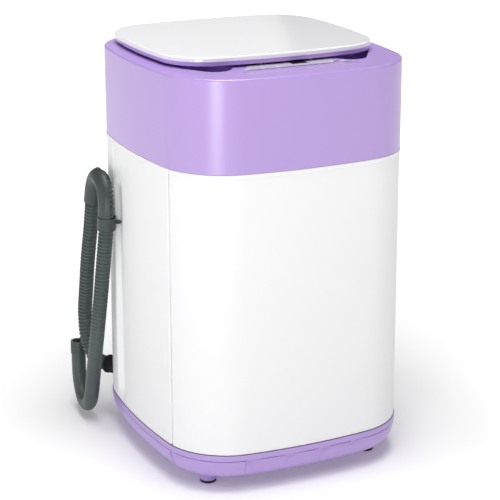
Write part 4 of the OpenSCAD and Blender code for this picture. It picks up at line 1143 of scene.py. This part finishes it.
# %% A stamping tree
stamp, sizes, out = new_tree("stamp", {"Thing": "Object", "Finish": "Material"})
thing = step(stamp, "ObjectInfo", {"Object": sizes["Thing"]})["Geometry"]
facing = step(stamp, "FunctionNodeAlignRotationToVector", {
    "Vector": step(stamp, "InputNormal")["Normal"]}, axis="Z")["Rotation"]
stamps = step(stamp, "InstanceOnPoints", {
    "Points": sizes["Geometry"], "Instance": thing, "Rotation": facing})["Instances"]
real = step(stamp, "RealizeInstances", {"Geometry": stamps})["Geometry"]
stamp.links.new(step(stamp, "SetMaterial", {"Geometry": real, "Material": sizes["Finish"]})["Geometry"], out["Geometry"])


def stamped_mesh(name, shape, places, material, facing=None):
    """One shape at every place; the optional facing gives each point its outward way."""
    mesh = bpy.data.meshes.new(name)
    shape.to_mesh(mesh)
    shape.free()
    thing = bpy.data.objects.new(name, mesh)
    seeds = []
    faces = []
    for i, p in enumerate(places):
        n = Vector(facing[i]).normalized() if facing else Vector((0, 0, 1))
        a = n.orthogonal().normalized() * 1e-5
        b = n.cross(a)
        seeds += [tuple(Vector(p) + a), tuple(Vector(p) - a * 0.5 + b), tuple(Vector(p) - a * 0.5 - b)]
        faces.append((3 * i, 3 * i + 1, 3 * i + 2))
    made = grown(stamp, plain_object(name + "_places", seeds, faces), {"Thing": thing, "Finish": material})
    bpy.data.objects.remove(thing)
    return made

# %% [markdown]
# The service cover is a curved plate with eight slots under pressed hoods, held by six
# cross-head screws. The slots are few and square, so they are cut with Booleans; hoods
# and screws are stamped.

# %% The service cover
cover_low, cover_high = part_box("rear_service_cover")
back_line = sorted((s for s in cabinet.stations(60, 40) if s[2].y > 0 and abs(spot(s, 0, 0).x) < cover_high[0] - 1e-4),
                   key=lambda s: -spot(s, 0, 0).x)
ends = [station_at_x(x) for x in (cover_high[0] - 0.05 * mm, cover_low[0] + 0.05 * mm)]
ends = [(Vector((c.x, -c.y)), r, Vector((u.x, -u.y))) for c, r, u in ends]
back_line = [ends[0]] + back_line + [ends[1]]
shape = bmesh.new()
rings = []
for z in (cover_low[2] + 0.05 * mm, cover_high[2] - 0.05 * mm):
    rings.append([shape.verts.new(spot(s, 0.55 * mm, z)) for s in back_line]
                 + [shape.verts.new(spot(s, 1.45 * mm, z)) for s in reversed(back_line)])
close_rings(shape, rings, caps=True)
plate_piece = to_object("service_plate", shape, looks["white_enamel"], weigh=False)
slot_zs = [(200 + 12 * i) * mm for i in range(8)]
for z in slot_zs:
    carve(plate_piece, solid_box("slot", (-60, 214, z / mm), (60, 232, z / mm + 4)))
hood = bmesh.new()
arc = [(4.6 * math.cos(a), 1.9 * math.sin(a)) for a in np.linspace(0, math.pi / 2, 6)]
rings = []
for x in np.linspace(-62, 62, 25):
    y = spot(station_at_x(x * mm), 0, 0).y
    swell = min(1.0, max(0.02, (62 - abs(x)) / 3)) ** 0.5
    rings.append([hood.verts.new((x * mm, -y - 0.6 * mm + out_ * swell * mm - 0.3 * mm, (4.0 + up - 1.2) * mm)) for up, out_ in arc]
                 + [hood.verts.new((x * mm, -y - 0.6 * mm + (out_ * swell - 0.7) * mm, (4.0 + up - 1.2) * mm)) for up, out_ in reversed(arc)])
close_rings(hood, rings, caps=True)
hoods = stamped_mesh("louvre_hood", hood, [(0, 0, z) for z in slot_zs], looks["white_enamel"])
shape = loaded(plate_piece.data, hoods)
bpy.data.objects.remove(plate_piece)
louvres = add("louvred_service_cover", shape, "rear_service_cover", fold=30, weigh=False)

# %% The screws
shape = bmesh.new()
turned(shape, [(0.01 * mm, -8.9 * mm), (1.75 * mm, -8.9 * mm), (1.75 * mm, 0), (3.9 * mm, 0), (3.95 * mm, 0.5 * mm), (3.7 * mm, 1.2 * mm),
               (3.0 * mm, 1.7 * mm), (1.8 * mm, 1.95 * mm), (0.01 * mm, 1.98 * mm)], 24)
head = to_object("screw_head", shape, looks["zinc_steel"], weigh=False)
for wide, deep in ((3.6, 0.8), (0.8, 3.6)):
    carve(head, solid_box("cross", (-wide / 2, -deep / 2, 0.9), (wide / 2, deep / 2, 3)))
shape = loaded(head.data)
bpy.data.objects.remove(head)
places, outward = [], []
for x in (-112 * mm, 112 * mm):
    c, r, u = station_at_x(x)
    u = Vector((u.x, -u.y))
    at = Vector((c.x, -c.y)) + u * (r - 0.5 * mm)
    for z in (172, 285, 398):
        places.append((at.x, at.y, z * mm))
        outward.append((u.x, u.y, 0))
screw_mesh = stamped_mesh("cover_screw", shape, places, looks["zinc_steel"], outward)
shape = loaded(screw_mesh)
screws = add("cross_head_screws", shape, "service_screws", fold=30, weigh=False)

# %% [markdown]
# The lint filter is a frame with a grid of fine bars, the bumpers are small domes, and
# each hanging rod carries a coil spring under the tub's lug.

# %% The lint filter and the bumpers
filter_low, filter_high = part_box("lint_filter")
x0, x1, y0, y1, z0, z1 = (filter_low[0], filter_high[0], filter_low[1], filter_high[1], filter_low[2], filter_high[2])
shape = bmesh.new()
low_y, high_y = y0 + 0.2 * mm, y0 + 6 * mm
for low, high in (((x0 + 0.1 * mm, low_y, z0 + 0.1 * mm), (x0 + 6 * mm, high_y, z1 - 0.1 * mm)),
                  ((x1 - 6 * mm, low_y, z0 + 0.1 * mm), (x1 - 0.1 * mm, high_y, z1 - 0.1 * mm)),
                  ((x0 + 4 * mm, low_y, z0 + 0.1 * mm), (x1 - 4 * mm, high_y, z0 + 6 * mm)),
                  ((x0 + 4 * mm, low_y, z1 - 6 * mm), (x1 - 4 * mm, high_y, z1 - 0.1 * mm))):
    rounded_bar(shape, low, high, 1.2 * mm)
frame_mesh = shape
bar = bmesh.new()
rounded_bar(bar, (x0 + 4.5 * mm, 0, -0.5 * mm), (x1 - 4.5 * mm, 1.1 * mm, 0.5 * mm), 0.25 * mm)
bars = stamped_mesh("filter_bar", bar, [(0, y0 + 2 * mm, z) for z in np.linspace(z0 + 10 * mm, z1 - 10 * mm, 26)], looks["filter_blue"])
post = bmesh.new()
rounded_bar(post, (-0.5 * mm, 0, z0 + 4.5 * mm), (0.5 * mm, 1.1 * mm, z1 - 4.5 * mm), 0.25 * mm)
posts_mesh = stamped_mesh("filter_post", post, [(x, y0 + 2.4 * mm, 0) for x in np.linspace(x0 + 10 * mm, x1 - 10 * mm, 9)], looks["filter_blue"])
frame_mesh.from_mesh(bars)
frame_mesh.from_mesh(posts_mesh)
filter_piece = add("lint_filter_grid", frame_mesh, "lint_filter", "basket", fold=40, weigh=False)

shape = bmesh.new()
turned(shape, in_mm((0.01, 0.5), (1.6, 0.6), (2.4, 1.2), (2.75, 2.2), (2.75, 3.95), (0.01, 3.95)), 20)
stops = [(side * 186 * mm, 36.5 * mm, deck) for side in (-1, 1)]
dome = stamped_mesh("bumper_dome", shape, stops, looks["grey_plastic"])
shape = loaded(dome)
turned_at = [(side * 44 * mm, -132.5 * mm, 0) for side in (-1, 1)]
for place in turned_at:
    turned(shape, [(0.01 * mm, deck + 1.3 * mm), (2.1 * mm, deck + 1.5 * mm), (2.7 * mm, deck + 2.3 * mm), (2.75 * mm, deck + 3.95 * mm),
                   (0.01 * mm, deck + 3.95 * mm)], 20, place)
bumpers = add("bumper_domes", shape, "lid_bumpers", "lid", slot="grey_plastic", fold=40, weigh=False)

# %% The coil springs
coil, sizes, out = new_tree("coil_spring", {
    "Turns": "Float", "Radius": "Float", "Height": "Float", "Wire": "Float", "Finish": "Material"})
helix = step(coil, "CurveSpiral", {
    "Resolution": 20, "Rotations": sizes["Turns"], "Start Radius": sizes["Radius"],
    "End Radius": sizes["Radius"], "Height": sizes["Height"]})["Curve"]
wire = step(coil, "CurvePrimitiveCircle", {"Resolution": 8, "Radius": sizes["Wire"]})["Curve"]
wound = step(coil, "CurveToMesh", {"Curve": helix, "Profile Curve": wire, "Fill Caps": True})["Mesh"]
each = step(coil, "InstanceOnPoints", {"Points": sizes["Geometry"], "Instance": wound})["Instances"]
real = step(coil, "RealizeInstances", {"Geometry": each})["Geometry"]
coil.links.new(step(coil, "SetMaterial", {"Geometry": real, "Material": sizes["Finish"]})["Geometry"], out["Geometry"])
spring_low, spring_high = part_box("suspension_springs")
hang_x, hang_y = spring_high[0] - 12 * mm, spring_high[1] - 12 * mm
seeds = plain_object("spring_seats", [(sx * hang_x, sy * hang_y, spring_low[2] + 1.5 * mm) for sx in (-1, 1) for sy in (-1, 1)], [])
coils = grown(coil, seeds, {"Turns": 5.5, "Radius": 10.4 * mm, "Height": spring_high[2] - spring_low[2] - 3 * mm,
                            "Wire": 1.4 * mm, "Finish": looks["zinc_steel"]})
shape = loaded(coils)
springs = add("coil_springs", shape, "suspension_springs", fold=60, weigh=False)

# %% [markdown]
# The connections are turned: the drain outlet with its hose nut, the inlet valve's
# threaded spigot on its moulded body, and the supply cord's gland.

# %% The outlet, the inlet valve and the gland
outlet_way = Vector((-0.5, math.sqrt(0.75), 0))
outlet_end = Vector((-198.85 * mm, 177.96 * mm, 100 * mm))
shape = bmesh.new()
nut = in_mm((10.5, -31.6), (14.9, -31.6), (14.9, -14))
for i in range(3):
    z = (-13.4 + i * 3.0) * mm
    nut += [(14.1 * mm, z), (14.1 * mm, z + 1.1 * mm), (14.9 * mm, z + 1.6 * mm), (14.9 * mm, z + 2.5 * mm)]
nut += in_mm((15.0, -4.9), (16.2, -4.7), (16.45, -4.2), (16.45, -0.7), (16.0, -0.05),
        (10.9, -0.05), (10.5, -0.5))
turned(shape, nut, 48, outlet_end, outlet_way)
outlet = add("drain_outlet_nut", shape, "drain_outlet", fold=30)

valve_low, valve_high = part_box("inlet_valve")
shape = bmesh.new()
rounded_bar(shape, (valve_low[0] + 0.05 * mm, valve_low[1] + 0.05 * mm, 653.05 * mm), (valve_high[0] - 0.05 * mm, valve_low[1] + 27.9 * mm, valve_high[2] - 0.05 * mm), 2.5 * mm)
end = valve_high[1]
spigot = [(10.2 * mm, end - 16 * mm), (16.15 * mm, end - 18 * mm), (16.15 * mm, end - 14.1 * mm), (12.4 * mm, end - 13.6 * mm)]
for i in range(5):
    z = end - (12.6 - i * 2.2) * mm
    spigot += [(12.3 * mm, z), (13.15 * mm, z + 0.6 * mm), (13.15 * mm, z + 1.0 * mm), (12.3 * mm, z + 1.6 * mm)]
spigot += [(12.6 * mm, end - 0.4 * mm), (12.2 * mm, end - 0.02 * mm), (10.6 * mm, end - 0.02 * mm), (10.2 * mm, end - 0.5 * mm)]
turned(shape, spigot, 48, (90 * mm, 0, 660 * mm), (0, 1, 0))
valve = add("threaded_inlet_valve", shape, "inlet_valve", fold=30)

gland_low, gland_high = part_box("cord_gland")
shape = bmesh.new()
g0, g1 = gland_low[1], gland_high[1]
gland = [(4 * mm, g0 + 0.1 * mm), (10.6 * mm, g0 + 0.1 * mm), (10.9 * mm, g0 + 0.6 * mm), (10.9 * mm, g0 + 6.3 * mm), (8.9 * mm, g0 + 6.5 * mm)]
for i in range(3):
    y = g0 + (7.2 + i * 1.7) * mm
    gland += [(8.9 * mm, y), (8.3 * mm, y + 0.4 * mm), (8.3 * mm, y + 0.8 * mm), (8.9 * mm, y + 1.2 * mm)]
gland += [(8.9 * mm, g1 - 0.6 * mm), (8.4 * mm, g1 - 0.1 * mm), (4.6 * mm, g1 - 0.1 * mm), (4 * mm, g1 - 0.7 * mm)]
turned(shape, gland, 36, ((gland_low[0] + gland_high[0]) / 2, 0, (gland_low[2] + gland_high[2]) / 2), (0, 1, 0))
gland_piece = add("ridged_cord_gland", shape, "cord_gland", fold=30)

# %% [markdown]
# A plain pale floor catches a soft contact shadow. One broad light stands over the
# camera's left shoulder, a weaker one fills from the right, and a white surround
# lights everything else, as in a product tent.

# %% Floor and light
bpy.context.scene.view_settings.view_transform = "Standard"
floor_mesh = bpy.data.meshes.new("studio_floor")
floor_mesh.from_pydata([(-40, -40, 0), (40, -40, 0), (40, 40, 0), (-40, 40, 0)], [], [(0, 1, 2, 3)])
studio_floor = bpy.data.objects.new("studio_floor", floor_mesh)
paper = finish("studio_floor", tone(250, 250, 250), 0.9, grain=3, raised=0.0, drift=0.0, specular=0.0)
glow = paper.node_tree
glow.nodes["Principled BSDF"].inputs["Emission Color"].default_value = (1, 1, 1, 1)
reach = glow.nodes.new("ShaderNodeVectorMath")
reach.operation = "LENGTH"
glow.links.new(glow.nodes["Texture Coordinate"].outputs["Object"], reach.inputs[0])
ramp = glow.nodes.new("ShaderNodeMapRange")
for label, value in {"From Min": 0.4, "From Max": 2.2, "To Min": 0.13, "To Max": 0.82}.items():
    ramp.inputs[label].default_value = value
glow.links.new(reach.outputs["Value"], ramp.inputs["Value"])
glow.links.new(ramp.outputs["Result"], glow.nodes["Principled BSDF"].inputs["Emission Strength"])
floor_mesh.materials.append(paper)
bpy.context.scene.collection.objects.link(studio_floor)
world = bpy.data.worlds.new("white_surround")
world.use_nodes = True
world.node_tree.nodes["Background"].inputs["Color"].default_value = (1, 1, 1, 1)
world.node_tree.nodes["Background"].inputs["Strength"].default_value = 0.22
bpy.context.scene.world = world


def soft_light(name, place, aim, size, power, colour=(1, 1, 1)):
    data = bpy.data.lights.new(name, "AREA")
    data.shape = "RECTANGLE"
    data.size, data.size_y = size
    data.energy = power
    data.color = colour
    lamp = bpy.data.objects.new(name, data)
    lamp.location = place
    lamp.rotation_euler = (Vector(aim) - Vector(place)).to_track_quat("-Z", "Y").to_euler()
    bpy.context.scene.collection.objects.link(lamp)
    return lamp


soft_light("front_light", (-1.9, -2.5, 0.25), (0, 0, 0.45), (0.7, 0.6), 15)
soft_light("left_light", (-3.0, -0.2, 1.1), (0, 0, 0.4), (1.0, 1.0), 7)
soft_light("high_light", (-0.75, -1.5, 2.8), (0, 0, 0.7), (1.2, 1.2), 17)
soft_light("top_light", (-0.12, -0.35, 3.1), (0, 0.1, 0.7), (1.4, 1.4), 56)
card = soft_light("lid_card", (1.42, 5.17, 1.6), (-1.16, -2.46, 1.19), (2.0, 1.3), 2.6)
card.rotation_euler.rotate_axis("Z", math.radians(23))
print("lights", len(bpy.data.lights))
